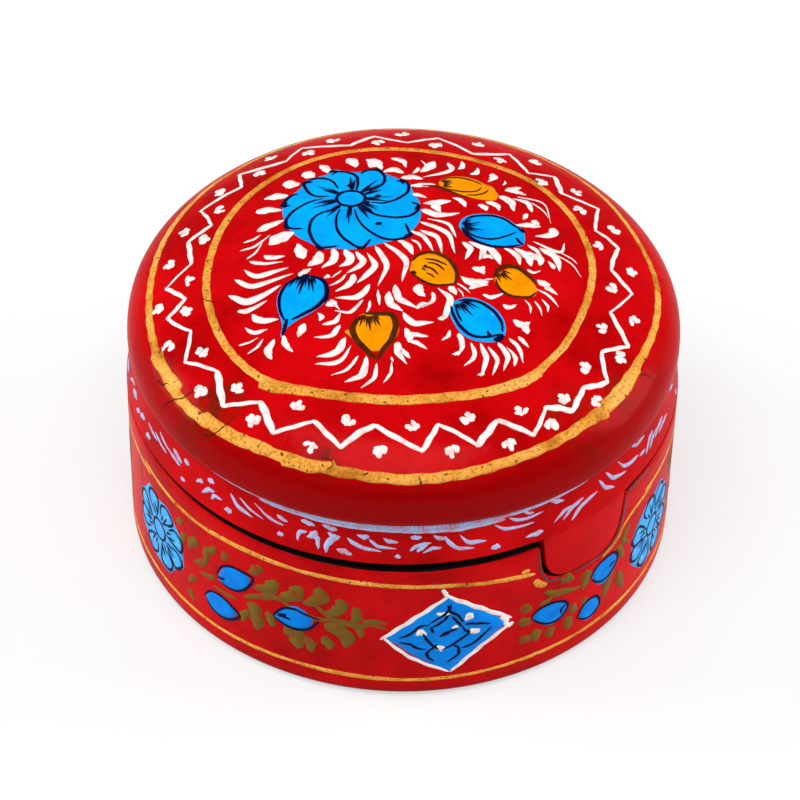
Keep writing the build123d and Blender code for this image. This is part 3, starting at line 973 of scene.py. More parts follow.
# White feathering: loose tapered strokes that fill the ground between the flower and the buds.
# Each was pressed down and flicked away, so it is fat at one end and fine at the other.
feathers = [
    ((-16, 28.7), (-14.8, 27.2), (-14.4, 25.8), 1.7), ((-19, 26.3), (-17.8, 25.4), (-16.8, 24.7), 2.4),
    ((-22.3, 23.5), (-21, 22.6), (-19.4, 22.7), 2.5), ((-25.8, 18.4), (-23.8, 18.9), (-21.4, 19), 1.9),
    ((-27.1, 14.4), (-24.8, 14.9), (-22.3, 14.6), 1.8), ((-26.6, 8.7), (-24.6, 10.1), (-21.8, 11.6), 1.6),
    ((-24.3, 4.7), (-22.6, 6.4), (-19.9, 8), 2.7), ((-28.9, 5.8), (-27.2, 6.5), (-25.9, 7.7), 0.5),
    ((-29.4, 3.6), (-26.8, 4.6), (-24.2, 7.5), 0.5), ((-28.1, 1.2), (-26.5, 3), (-25.4, 5.8), 0.4),
    ((-19.2, 4.8), (-18.6, 2.6), (-18, 0.6), 2.2), ((-25.1, 1.8), (-23.7, 1.2), (-21.3, 1.5), 1.2),
    ((-27.6, 0.5), (-25, -0.3), (-21.6, 0), 0.8), ((-28.4, -1.6), (-26, -3.5), (-20.6, -1.6), 1.2),
    ((-30, -3.9), (-26.5, -6), (-19.7, -3.2), 1.2), ((-30.9, -7.9), (-27, -9.8), (-21.7, -6.1), 1.6),
    ((-29.1, -12.1), (-27, -12), (-24, -9.9), 1.1), ((-26.5, -13.1), (-25, -14.7), (-21.8, -14.7), 1.5),
    ((-27.6, -16.1), (-26, -17.5), (-23.6, -16.9), 0.9),
    ((-28.5, -20.1), (-26.6, -19.6), (-25.2, -18.7), 0.4),
    ((-26.9, -22.2), (-25.2, -20.8), (-24.3, -19.1), 0.5),
    ((-22.3, -19.3), (-23.3, -22), (-22.6, -23.9), 1.4),
    ((-20.8, -18.6), (-20.3, -20.8), (-19, -22.5), 1.1),
    ((-17.3, -15.9), (-17.7, -17.6), (-18.3, -19.1), 1.4),
    ((-11.2, 30.5), (-9.9, 29.3), (-9.4, 27.5), 2.1), ((-7.6, 30.2), (-6.2, 29.2), (-6.8, 27.4), 2.4),
    ((-5.4, 30), (-5, 28), (-4.7, 26.3), 1.2), ((-3, 30.6), (-0.9, 29.7), (-0.2, 27.5), 1.2),
    ((-4.4, 25.8), (-2.5, 26.7), (-0.6, 25.6), 1.5), ((-1.1, 24), (1, 24.4), (2.9, 23.8), 1.4),
    ((0.6, 21.6), (3, 22), (5.2, 22.3), 1.2), ((1, 19.1), (2.3, 18.8), (3.6, 18.1), 0.9),
    ((3, 16.4), (5.5, 16.8), (8, 17.4), 1.5), ((5, 17.2), (5.3, 15.6), (6.2, 14), 1.6),
    ((2.7, 14.5), (6, 13.2), (9.6, 13.9), 1.5), ((2.5, 30), (3.3, 28.8), (3.2, 27.6), 0.4),
    ((4.9, 29.9), (4.1, 27.9), (2.4, 26.1), 1.8), ((2.1, 27.6), (1.8, 26.6), (1, 25.6), 0.8),
    ((7.4, 29.7), (7.9, 27), (2.9, 24.4), 1.0), ((10, 30.4), (10.1, 28.6), (9.3, 27.6), 1.0),
    ((12.9, 28.6), (12.7, 26.8), (11.5, 26.1), 1.0), ((15.2, 26.7), (15.9, 25.6), (14.7, 24), 1.3),
    ((14.9, 25.3), (15.8, 25.6), (16.6, 25.8), 0.8), ((17.8, 24.8), (17.9, 24), (17.4, 23.3), 0.4),
    ((17.8, 21.6), (19.5, 22.4), (20.8, 23.1), 1.3), ((18.5, 21.6), (20, 21.5), (21.7, 20.8), 1.1),
    ((16.7, 19.7), (18.8, 18.3), (19.4, 15.4), 1.6), ((19.2, 19.3), (21.8, 18.4), (22.7, 15.7), 1.1),
    ((20, 20), (24.8, 18.7), (26, 12.9), 0.35), ((22.6, 18.6), (24.6, 16.6), (25.6, 14.6), 0.3),
    ((8.3, 18.5), (9.9, 17.6), (10.7, 15.8), 1.1), ((14.3, 17.7), (16.2, 16.9), (16.8, 15.3), 1.2),
    ((12.9, 16.7), (14.1, 16), (14.4, 15), 1.2), ((21.7, 15.1), (21.4, 14.1), (21.1, 13.2), 0.9),
    ((19.6, 11.4), (22, 11.7), (24.2, 11.6), 1.3), ((22.5, 13.1), (23.2, 12.7), (23.9, 12), 1.2),
    ((26.5, 11.7), (26.1, 9.6), (23.1, 8.7), 1.7), ((28.4, 7.8), (27.4, 5), (22.7, 7.2), 0.7),
    ((24.8, 5.2), (29.3, 2.4), (31.2, -1), 0.28), ((27.4, 5), (29.5, 3.7), (30.6, 2.4), 0.28),
    ((10.1, 5.8), (11.5, 4), (10.6, 1.1), 1.2), ((11.2, 6), (13.8, 4.2), (13.1, 1.1), 1.3),
    ((12.8, 5.8), (15.6, 3.6), (16.9, 0.2), 1.5), ((13.4, 2), (14.6, 2.3), (15.6, 1.6), 1.1),
    ((17.4, 4.9), (19.7, 3.1), (20.4, 0.4), 1.1), ((19.3, 4.9), (21.7, 3), (22.3, 0.3), 1.6),
    ((21.1, 4.1), (23.9, 2.5), (23.8, 0.7), 1.5), ((21.7, 6.1), (23.4, 4.6), (24.4, 2.1), 0.8),
    ((23.8, 5.6), (26.7, 3.4), (27.4, -0.3), 1.4), ((25.3, 2.2), (26.1, 1.1), (26.4, 0.2), 0.9),
    ((21.6, -0.6), (22.7, -1.3), (24, -0.6), 0.6), ((2.4, 11.1), (7.3, 8.2), (8.8, 2.6), 1.0),
    ((3.8, 12), (7.5, 10.7), (9, 7), 0.7), ((2.5, 8.7), (5.6, 6.8), (6.5, 2.5), 1.0),
    ((0.8, 8.5), (3.3, 6.8), (5, 2.9), 0.9), ((1, 6.1), (2.3, 5), (2.8, 3.2), 0.5),
    ((-1.6, 6), (0.3, 4.5), (1.4, 2), 1.3), ((-3.9, 5), (0, 0.6), (-0.5, -5.3), 1.1),
    ((-5.4, 4.1), (-3.3, -1), (-4.7, -6.5), 1.1), ((-6.8, 2.2), (-5.4, -1.4), (-8.4, -5.9), 1.2),
    ((-8.8, 2.6), (-7.5, -0.5), (-10.3, -3.3), 1.2), ((-10.8, 3.1), (-9.7, 0.2), (-11.6, -1.6), 1.6),
    ((-12.8, 3.3), (-12.6, 0.4), (-14.7, -1.9), 1.5), ((-15.3, 2.6), (-15.4, 0.4), (-17.2, -1.4), 2.0),
    ((-16.6, -2), (-17.8, -3), (-18.8, -4), 1.2), ((-13.2, -3.9), (-13.7, -4.2), (-14.2, -4.6), 0.9),
    ((-11.2, -2.6), (-12, -3.5), (-12.9, -4.5), 0.35),
    ((-10.3, -3.5), (-11.4, -5.3), (-13.2, -6.6), 0.55), ((-8.9, -3.5), (-9.6, -6), (-12.1, -8.1), 1.3),
    ((-6.1, -6.1), (-8, -9.3), (-12.1, -9.7), 1.3), ((-7.2, -10.1), (-9.3, -13.2), (-12.1, -12.9), 0.7),
    ((-11, -13.4), (-12, -15.6), (-14.2, -16.3), 1.0), ((-11, -16.4), (-12.6, -19), (-15.5, -19.3), 1.0),
    ((-10, -19.4), (-11.6, -22.9), (-14.9, -23.8), 1.4), ((-9, -21.4), (-11, -25), (-15.1, -25.4), 0.9),
    ((-7.7, -23.7), (-9.5, -26.7), (-12.3, -28), 0.6), ((-6.3, -23.8), (-6.9, -27.8), (-9.9, -29.5), 1.3),
    ((-4.5, -25.4), (-4.9, -28.6), (-7.1, -30.8), 0.75),
    ((-1.9, -24.9), (-2.1, -27.6), (-3.3, -29.7), 0.55), ((-2, -23.9), (-1.9, -24.4), (-1.6, -25), 0.4),
    ((-0.9, -20.4), (-0.9, -22.8), (0.7, -25.5), 1.3), ((-0.3, -21.8), (0.3, -22.9), (1.2, -24.1), 0.9),
    ((0.3, -17), (1, -19.2), (1, -20.5), 1.3), ((1, -18.2), (2.4, -18.6), (4.3, -18.9), 1.0),
    ((0.9, -20), (2.5, -20.6), (4.1, -21.9), 0.9), ((-0.2, -13.2), (1.6, -15.7), (5.2, -15.4), 1.4),
    ((-13.7, -11.6), (-12.6, -11.2), (-11.7, -11.6), 1.6),
    ((-12.8, -10.1), (-12.2, -11.2), (-11.2, -12.7), 0.7),
    ((-15, -13.5), (-14.3, -14.4), (-14.7, -15.4), 0.9), ((-4.7, -7.5), (-4.5, -9.4), (-4.3, -11.5), 0.6),
    ((-6, -10.3), (-6.1, -12), (-6.6, -13.5), 0.5), ((-2.7, -7.9), (-2.5, -10.8), (-0.2, -12.9), 1.5),
    ((-1.7, -6.1), (-0.9, -9.6), (2.5, -12.1), 1.4), ((2.2, -12.2), (3, -11.2), (4.4, -10.8), 1.2),
    ((4.9, -7.8), (5, -10), (2.5, -12), 0.8), ((2.6, -5.8), (2.5, -7.6), (3.6, -9), 1.8),
    ((5.8, -6.7), (8, -9.6), (6.7, -15), 1.3), ((5.9, -14.5), (7, -14.1), (7.9, -12.8), 0.9),
    ((7.8, -6.2), (8.4, -7), (9.1, -8.3), 1.3), ((9.2, -5.3), (10.5, -6.4), (11.5, -7.7), 0.35),
    ((9.3, -6.6), (10, -7.6), (10.4, -8.7), 0.3), ((11.8, -1.1), (13.2, -1.5), (14.1, -2.4), 1.4),
    ((13.9, -0.5), (13.6, -1.6), (13.9, -2.7), 0.9), ((9.8, -3.5), (12, -5), (14.8, -4.6), 2.1),
    ((11.3, -6.6), (13, -5.5), (14.7, -5.4), 1.1), ((14, -4.1), (14.8, -3.9), (15.6, -3.7), 0.4),
    ((13.7, -7.9), (15.3, -8.5), (17.4, -7.3), 0.9), ((17.2, -10.2), (18.3, -10.8), (19.6, -10), 1.0),
    ((23.3, -3.2), (24.5, -4), (25.7, -4.2), 1.5), ((24.6, -4.7), (25.8, -5.5), (26.9, -6.5), 1.0),
    ((23.1, -5.5), (25.4, -7), (27, -9.5), 0.55), ((21.1, -8.6), (22, -10), (22.1, -11.9), 0.4),
    ((22.8, -8.7), (23.7, -10.3), (24.1, -12.2), 0.4), ((24.1, -8.1), (25.1, -9.6), (25.1, -11.1), 0.5),
    ((19, -13.8), (20.6, -14.8), (22, -14), 1.5), ((20, -14.6), (21.1, -15.4), (21.5, -16.9), 1.4),
    ((19.9, -17.7), (20.8, -18.8), (21.7, -20), 0.8), ((18.3, -18.3), (20, -20.4), (20.7, -23.6), 0.8),
    ((17.9, -20.4), (19.3, -22.4), (19.2, -24.6), 0.75), ((16.3, -19.5), (18, -22.4), (17.3, -25.8), 1.0),
    ((14.6, -20.6), (16.2, -23.5), (15.4, -27), 0.8), ((13.3, -19.9), (14.3, -23.5), (13.4, -27.4), 1.0),
    ((12.8, -27.1), (13.6, -26.9), (14, -26.4), 0.6), ((11.7, -19.9), (12.3, -23), (10.5, -25.4), 0.8),
    ((9.5, -17.8), (10.2, -20.5), (9.5, -23.1), 1.0), ((8.4, -22.8), (9.1, -22.7), (9.8, -22), 0.7),
    ((8, -17.2), (7.7, -18.6), (6.6, -19.7), 0.7), ((15.4, -12.8), (15.4, -12.9), (15.5, -13), 0.1),
]
bm = bmesh.new()
for index, (start, middle, end, width) in enumerate(feathers):
    brush(
        bm, [start, middle, end], width, lay_on_crown, white_lift, belly=0.44 + wobble(index, 0.16),
        full=0.72, steps=14, ragged=0.12,
    )
painted("lid_white_feathering", bm, white, "lid")

# Pale blue strokes round the skirt: dots, commas and long arcs from one loaded brush.
# Places are degrees to the right of the view and millimetres up, and the hidden back repeats the front.
pale_blue = paint("pale_blue_paint", (0.42, 0.52, 0.80), (0.56, 0.28, 0.40), 520, 0.34, 0.52)
skirt_strokes = [
    ((-54.5, 39.2), (-53, 38.7), (-51, 38), 1.0), ((-50.6, 39.2), (-49.7, 39.1), (-48.8, 38.9), 1.1),
    ((-50.6, 35.3), (-49.9, 35.3), (-49.1, 35.3), 0.8), ((-56, 38.1), (-54, 37.7), (-51.4, 37.3), 0.8),
    ((-60.3, 39.2), (-58, 38.4), (-55.5, 37.9), 0.55), ((-62, 38), (-59.5, 37.4), (-56.4, 36.9), 0.55),
    ((-46, 37), (-45.2, 37.7), (-44.1, 37.8), 0.9), ((-43.1, 39), (-42.2, 39.2), (-41.2, 39.1), 1.2),
    ((-44, 35.8), (-42.6, 37.1), (-40.8, 37.6), 1.0), ((-41.3, 35.8), (-40.6, 36.8), (-38.6, 36.9), 0.8),
    ((-37.7, 35.5), (-36.8, 35.7), (-35.8, 35.5), 1.3), ((-36.8, 39.2), (-34.6, 37.5), (-30.8, 36.7), 0.9),
    ((-34.5, 39.3), (-31.5, 38), (-28.4, 37.3), 0.5), ((-30.9, 39.7), (-27, 38), (-23.8, 37.6), 0.6),
    ((-25.5, 39.2), (-24.5, 38.8), (-23, 38.5), 0.8), ((-25, 35.5), (-24.3, 35.7), (-23.6, 35.6), 1.0),
    ((-20.2, 39.7), (-18.6, 39.5), (-17.2, 39.3), 1.0), ((-20.5, 35.5), (-20.4, 37.1), (-18.7, 37.8), 0.9),
    ((-18.7, 36.7), (-17.5, 37.4), (-16.7, 38.3), 1.5), ((-17.2, 37.8), (-16.4, 36.6), (-16.1, 34.9), 1.1),
    ((-15.7, 39.9), (-14, 39.5), (-12.5, 39.4), 1.0), ((-14.5, 34.5), (-14.2, 36.6), (-11.8, 38.2), 1.4),
    ((-14.4, 38.6), (-13.2, 38), (-12, 38.2), 1.1), ((-12.4, 35.6), (-10.8, 35.4), (-9.2, 35), 1.2),
    ((-10.4, 38.2), (-8, 36.9), (-3.4, 36.2), 0.9), ((-8.5, 39.1), (-7.3, 38.8), (-5.9, 38.9), 1.1),
    ((-6, 38.4), (-4, 37.2), (-0.4, 36.9), 0.7), ((-3.1, 38.8), (-1.8, 38.3), (-0.1, 38.2), 0.9),
    ((-0.8, 35.3), (-0.2, 35.4), (0.4, 35.2), 0.9), ((2.3, 39.3), (3.4, 39.1), (4.6, 39.2), 1.0),
    ((2.2, 36.5), (3.8, 37.5), (6.5, 38), 0.9), ((3.6, 36.3), (4.6, 37), (5.8, 37.6), 0.8),
    ((4.8, 36), (6.5, 36.8), (8.6, 36.9), 0.8), ((6.9, 39.4), (8.4, 38.7), (9.6, 38.9), 0.9),
    ((9.2, 39), (11.3, 36.7), (15.2, 36), 0.9), ((12.3, 39), (14, 37.4), (17.7, 37), 0.9),
    ((18.6, 35.2), (19.6, 35.4), (20.6, 35.2), 1.2), ((19.5, 39.7), (22.5, 38.3), (28.2, 38), 0.7),
    ((22.7, 40.4), (25.5, 39.3), (30.4, 39.4), 0.7), ((26, 40.9), (27, 40.2), (28.4, 39.9), 0.7),
    ((26, 35.6), (28.3, 35.6), (30.1, 35.6), 1.1), ((32.4, 40.9), (34, 40.2), (35.6, 39.8), 1.0),
    ((32.7, 36.3), (35.2, 37.6), (37.4, 38), 0.8), ((34.8, 36), (37.5, 37.6), (40.5, 38.3), 0.9),
    ((36.8, 35.1), (40, 37), (44.4, 37.8), 0.9), ((45.1, 39.7), (46.6, 37.5), (49.2, 36.2), 0.9),
    ((47.2, 40.2), (49.5, 38), (53.2, 37.3), 0.9), ((51.1, 40.5), (53.5, 38.3), (58, 37.9), 0.9),
]
right_strokes = [
    ((56, 41.2), (58, 40.1), (61.6, 40), 0.8), ((58.4, 37.4), (59.6, 37.4), (60.9, 37.4), 0.7),
    ((60.8, 36.3), (63, 38.1), (65.2, 38.8), 0.9), ((62.4, 36.4), (64.5, 37.5), (67.2, 38), 0.8),
    ((65.3, 36.9), (68, 37.8), (70.8, 38.1), 0.8), ((67.3, 36.7), (70.5, 37), (73.2, 36.9), 0.7),
]
left_strokes = [
    ((-77, 36.7), (-75.4, 37.2), (-73.4, 37.2), 1.5), ((-72.4, 35.7), (-71.4, 36.2), (-70.3, 36.6), 1.1),
    ((-70, 36.4), (-68.8, 36.8), (-67.2, 37.1), 1.2), ((-65.4, 35.2), (-64.4, 35.5), (-63.2, 35.5), 1.1),
    ((-65.6, 37.7), (-63, 37.3), (-60.4, 37), 0.6),
]


def side_path(points, turn=0):
    return [Vector(((azimuth + turn) * side_arc, height)) for azimuth, height in points]


skirt_lift = 0.045 * mm
skirt_repeats = (0, 132, 246)
back_starts, back_ends = 76, 280
thinned = 0.85
bm = bmesh.new()
for turn in skirt_repeats:
    for index, (start, middle, end, width) in enumerate(skirt_strokes):
        if turn and not back_starts < start[0] + turn < back_ends:
            continue
        brush(
            bm, side_path((start, middle, end), turn), width * thinned, lay_on_skirt, skirt_lift,
            belly=0.5 + wobble(index + turn, 0.15), full=0.6, steps=12, ragged=0.18,
        )
for start, middle, end, width in right_strokes + left_strokes:
    brush(
        bm, side_path((start, middle, end)), width * thinned, lay_on_skirt, skirt_lift, full=0.6, steps=12,
        ragged=0.18,
    )
painted("skirt_pale_blue_strokes", bm, pale_blue, "lid")

# Pale blue line in the crease: the same paint, drawn round in two or three thin passes.
# It is thick in front, where the passes overlap, and worn away behind.
bm = bmesh.new()
crease_passes = [
    ((-52, 41.5), (-40, 41.4), (-28, 41.3), 0.5), ((-36, 41.6), (-20, 41.3), (-6, 41.0), 0.9),
    ((-28, 41.1), (-16, 41.2), (-4, 41.4), 0.6), ((-14, 41.2), (4, 40.8), (22, 40.7), 1.0),
    ((-6, 41.5), (10, 41.2), (28, 41.1), 0.7), ((10, 40.1), (12, 40.2), (13.4, 40), 0.9),
    ((14, 41.0), (28, 41.0), (44, 41.3), 0.6), ((-22, 40.9), (-17, 41.3), (-12, 41.8), 0.4),
    ((32, 41.2), (48, 41.4), (62, 41.2), 0.5), ((-20, 40.6), (-8, 40.5), (6, 40.35), 0.7),
    ((0, 40.3), (10, 40.3), (22, 40.35), 0.8), ((-30, 40.9), (-23, 40.8), (-15, 40.7), 0.6),
]
crease_lift = skirt_lift + 0.02 * mm
for start, middle, end, width in crease_passes:
    brush(bm, side_path((start, middle, end)), width, lay_on_skirt, crease_lift, full=0.3, steps=40)
painted("crease_pale_blue_line", bm, pale_blue, "lid")

# Gold lines round the body: the same brass powder paint as the rings, run round with a thin brush.
# One lies under the rim and dips at the notch, and the other lies above the foot.
body_gold = [
    ((-66, 28.6), (-52, 27.9), (-42, 27.9), 0.9), ((-46, 27.8), (-33, 28.5), (-20, 28.5), 1.1),
    ((-24, 28.5), (-8, 28.5), (5, 28.2), 1.0), ((0, 28.2), (10, 28), (20, 26.9), 0.9),
    ((15, 27.4), (23, 26.7), (28.6, 25.9), 1.0), ((25.4, 27.2), (26.4, 27.4), (27.2, 27.2), 0.9),
    ((28.6, 24.3), (29.6, 22.9), (31.4, 21.9), 1.4), ((46, 20.9), (50, 22.1), (52.6, 24.4), 0.9),
    ((51.4, 23.8), (56, 26), (64, 26.9), 0.8),
]
pass_overlap = 1.5


def long_line(bm, first, last, height, width, lay, lift, passes=12):
    """A line round the box in overlapping passes of the brush."""
    step = (last - first) / passes
    for index in range(passes):
        near = first + step * index - pass_overlap
        far = near + step + 2 * pass_overlap
        low = height + wobble(index, 0.25)
        high = height + wobble(index + 1, 0.25)
        between = ((near + far) / 2, (low + high) / 2 + wobble(index + 5, 0.15))
        path = side_path(((near, low), between, (far, high)))
        brush(bm, path, width + wobble(index, 0.15), lay, lift, full=0.2, steps=30)


bm = bmesh.new()
for start, middle, end, width in body_gold:
    brush(bm, side_path((start, middle, end)), width, lay_on_body, gold_lift, full=0.25, steps=20)
rim_line_height = 27.6
foot_line_height = 4.6
long_line(bm, 62, 296, rim_line_height, 0.9, lay_on_body, gold_lift)
long_line(bm, -80, 280, foot_line_height, 0.85, lay_on_body, gold_lift, 18)
painted("body_gold_lines", bm, gold, "box")

# Painted shade along the notch: dark strokes on the wall where the gap round the tab falls in shade.
# A crack in the wall and a spot of grime are drawn as thin dark strokes too.
bm = bmesh.new()
notch_shade_line = [
    (62, 32.6), (57, 32.5), (53.3, 32.4), (52.5, 29.5), (52, 27), (51.2, 24.8), (49.2, 22.8), (45.4, 21.8),
    (38, 21.85),
]
# The first two marks are a crack and a grime spot; the last two are painted shade down the left side of the
# notch.
dark_marks_and_notch_shade = [
    ((-68, 29.6), (-69, 26), (-68, 21), 0.3), ((-49.2, 8.2), (-48.8, 8), (-48.4, 7.9), 0.5),
    ((29.3, 32), (29.5, 27.5), (30.6, 24.2), 0.35), ((30.4, 24.8), (32, 22.6), (35.4, 21.9), 0.4),
]
# Painted shade along the rim right of the notch, down its right side and along its floor, where the gap
# beside the tab is in shade.
brush(bm, side_path(notch_shade_line), 0.5, lay_on_body, gold_lift, full=0.15, steps=70, ragged=0.25)
for start, middle, end, width in dark_marks_and_notch_shade:
    brush(bm, side_path((start, middle, end)), width, lay_on_body, gold_lift, full=0.3, steps=16, ragged=0.3)
painted("notch_shade_and_dark_marks", bm, black_lining_and_shade, "box")

# Diamond medallions: a blue lozenge edged in white, with a four-petalled flower drawn in navy line.
# White dabs light its petals. The hidden back is taken to have two more.
diamond_blue = paint("medallion_blue_paint", (0.0, 0.25, 0.84), (0.0, 0.17, 0.64), 240, 0.3, 0.6)
diamond_edge = [
    (-2.2, 15.6), (3.6, 20.4), (10, 25.3), (15.6, 21.6), (22.6, 16.2), (16.6, 11), (10.9, 5.9), (3.6, 10.6),
]
diamond_middle = (10.2, 15.6)
diamond_heart_line = [(8.6, 15.2), (9.8, 15.9), (11.2, 16.4)]
edge_share = 0.8
diamond_border = [
    ((-3.4, 14.6), (3.4, 20.2), (10.2, 25.4), 1.1), ((8.9, 27.2), (9.5, 26.2), (10, 25), 1.0),
    ((9.6, 25.6), (16.4, 21.4), (23.8, 16.6), 1.2), ((23.9, 15.6), (17, 11), (11, 5.8), 1.1),
    ((-2.8, 15.2), (3, 10.2), (10.9, 5.9), 0.9), ((21.2, 17.6), (22.4, 16.6), (22.6, 14.8), 1.3),
    ((22.6, 15.1), (23.2, 14.6), (24.2, 15.4), 0.6),
]
diamond_lines = [
    [(0.4, 15.2), (2.6, 16.2), (4.4, 18), (6.6, 18.6)],
    [(0.5, 14.2), (2.8, 13.6), (4.2, 12.6), (6, 12.2)],
    [(6.6, 18.8), (8.6, 20.2), (10.2, 21.6), (10.8, 23.4)],
    [(10.1, 23.2), (10.6, 21.6), (12.4, 20), (13.4, 18.2)], [(7, 18), (7, 17.2), (7.4, 16.4)],
    [(5.2, 16.4), (6.4, 14.2), (8.6, 11.8)], [(6.8, 17.6), (9, 19), (10.6, 20.8)],
    [(13, 17.6), (13.8, 16.2), (14.6, 15.4), (12.8, 13.8), (10.8, 12.6), (8.9, 11.6)],
    [(11, 20.2), (12, 18.8), (13.2, 17.2)], [(13.6, 17.8), (16, 17.4), (19.2, 16.6)],
    [(13, 11.7), (15.2, 12.2), (17.4, 13.8), (19.4, 15.8)],
    [(11.4, 12.8), (12.6, 11.8), (12.4, 10), (10.2, 8.4)],
    [(8.4, 13.4), (6.4, 11.6), (6.3, 10.4), (7.6, 9)], [(8.6, 15.2), (9.8, 16), (11.4, 16.6), (12.4, 17)],
]
diamond_dabs = [
    ((7.8, 21.2), (9, 21), (10.6, 20.8), 1.2), ((13.8, 18.6), (14.6, 19.6), (15.4, 19), 1.8),
    ((3.8, 16), (5, 16.8), (5.8, 15.8), 1.5), ((14.8, 15.4), (15.8, 15.6), (16.8, 15), 1.8),
    ((8, 12.6), (8.8, 12.4), (9.2, 11.4), 1.6), ((11, 17.2), (11.8, 17.4), (12.4, 17), 0.9),
]
medallion_turns = (0, 127, 226)
blues, whites, navies = bmesh.new(), bmesh.new(), bmesh.new()
for turn in medallion_turns:
    edge = []
    corners = side_path(diamond_edge, turn)
    for index, corner in enumerate(corners):
        edge += [corner, corner.lerp(corners[(index + 1) % len(corners)], 0.5)]
    middle_spot = side_path([diamond_middle], turn)[0]
    fill(blues, edge, middle_spot, lay_on_body, blue_lift, around=64, rings=5)
    for start, middle, end, width in diamond_border:
        brush(
            whites, side_path((start, middle, end), turn), width * edge_share, lay_on_body, white_lift,
            full=0.2, steps=24, ragged=0.22,
        )
    for start, middle, end, width in diamond_dabs:
        brush(
            whites, side_path((start, middle, end), turn), width * edge_share, lay_on_body, white_lift,
            full=0.45, steps=10, ragged=0.3,
        )
    for line in diamond_lines:
        brush(navies, side_path(line, turn), 0.58, lay_on_body, line_lift, full=0.35, steps=16, ragged=0.2)
    brush(navies, side_path(diamond_heart_line, turn), 0.9, lay_on_body, line_lift, steps=8)
painted("medallion_blue", blues, diamond_blue, "box")
painted("medallion_white_edges", whites, white, "box")
painted("medallion_navy_lines", navies, navy, "box")

# Leaf sprays between the medallions and the rosettes: broad olive strokes, pressed on and lifted off.
# Three blue buds lie among the leaves on each side, and are lined in navy.
olive = paint("olive_paint", (0.17, 0.105, 0.012), (0.26, 0.045, 0.006), 380, 0.3, 0.55)
left_leaves = [
    ((-50, 25), (-51.2, 24.2), (-52, 23.3), 1.4), ((-45.3, 23.4), (-47, 21.8), (-48.2, 19.8), 1.8),
    ((-39.8, 24.8), (-42.6, 22), (-42.8, 18.8), 1.5), ((-42.8, 19.6), (-44.4, 18.2), (-46.6, 17.2), 1.4),
    ((-36.8, 25), (-37.6, 24), (-38, 22.8), 1.4), ((-40.2, 17), (-42.4, 16.2), (-44.6, 15.8), 1.0),
    ((-48.4, 9), (-47.6, 7.8), (-46.8, 6.8), 1.2), ((-28.6, 26.2), (-29.8, 24.6), (-31.4, 23.2), 1.8),
    ((-25.2, 24.2), (-26.6, 21.6), (-30.4, 19.8), 2.2), ((-19.6, 24.6), (-21.4, 21.8), (-24.8, 19.6), 2.4),
    ((-15.9, 25.6), (-15.6, 22.6), (-19.4, 20.5), 2.3), ((-11.4, 23.8), (-11.6, 21), (-14.9, 19.3), 2.1),
    ((-8.6, 22.3), (-8, 20), (-9.3, 18), 1.7), ((-6.9, 18.9), (-4.6, 19.1), (-1.8, 18.9), 0.9),
    ((-7, 18.4), (-4.6, 18.2), (-1.8, 17.4), 0.7), ((-9.2, 18), (-7.4, 16.8), (-7.4, 14.5), 1.4),
    ((-14.8, 16.6), (-10.6, 15), (-10.4, 11.5), 2.8), ((-15.2, 13.2), (-14, 12), (-13.4, 10.3), 1.8),
    ((-18.6, 12.3), (-17.8, 10.6), (-17.4, 8.5), 1.9), ((-23.2, 13.8), (-20.8, 11.4), (-20.4, 8.4), 2.9),
    ((-27.2, 15.3), (-26.4, 13.6), (-26.2, 11.8), 1.6), ((-31.2, 16.2), (-29.8, 12.8), (-29.9, 9.2), 2.7),
    ((-33, 16.2), (-27, 19.3), (-22.6, 19.6), 1.2), ((-24, 19.4), (-18, 17.4), (-12, 18.3), 1.0),
    ((-14, 18.4), (-9, 17.6), (-5, 18.2), 1.0), ((-17, 21.4), (-13.6, 18.6), (-9, 18.2), 0.8),
    ((-31.6, 13.4), (-33, 11.6), (-33.2, 9.8), 1.3), ((-45.8, 13.4), (-47.4, 12.2), (-48.4, 10.6), 1.1),
    ((-49, 22.6), (-50, 21), (-50.6, 19), 1.2), ((-34.6, 14.8), (-37.6, 14.6), (-41, 14.8), 0.7),
]
left_buds = [
    ([(-39.4, 17.6), (-38.2, 20.6), (-36, 22.4), (-33.2, 22.6), (-31.4, 21.6), (-31.8, 19.4), (-33.6, 17.6),
      (-35.8, 16.7), (-38, 16.8)], (-35.4, 19.7)),
    ([(-43, 10.6), (-41.6, 12.6), (-39, 13.2), (-36.6, 12.4), (-34.8, 10.8), (-36.4, 8.9), (-38.8, 8),
      (-41.2, 8.4)], (-39, 10.6)),
    ([(-25.6, 15.2), (-23.4, 17.6), (-21, 19.2), (-18.6, 18.4), (-17.2, 16.6), (-18.2, 14.6), (-20.6, 13.5),
      (-23.4, 13.8)], (-21, 16.1)),
]
left_bud_lines = [
    [(-40, 18), (-38.6, 20.8), (-36, 22.4), (-33, 22.6), (-30.6, 22.2), (-31.2, 20.2), (-33.4, 17.6),
     (-36, 16.6), (-38.8, 17)],
    [(-43.8, 10.4), (-41.6, 12.8), (-38.6, 13.2), (-36, 12.2), (-34, 10.8), (-36, 8.7), (-38.8, 7.9),
     (-41.6, 8.6), (-43, 10.2)], [(-26, 14.8), (-24, 17.4), (-21.4, 18.4), (-18.4, 17.8), (-15.6, 17.4)],
    [(-25.8, 14.8), (-23.4, 13.7), (-20.8, 13.4), (-18, 14.4), (-15.8, 17)],
    [(-25, 15.4), (-23.6, 15.6), (-22, 15.4)], [(-24.8, 15.8), (-23.8, 16.1), (-22.8, 16.2)],
    [(-39.6, 17.8), (-38.6, 17.9), (-37.6, 18.3)],
]
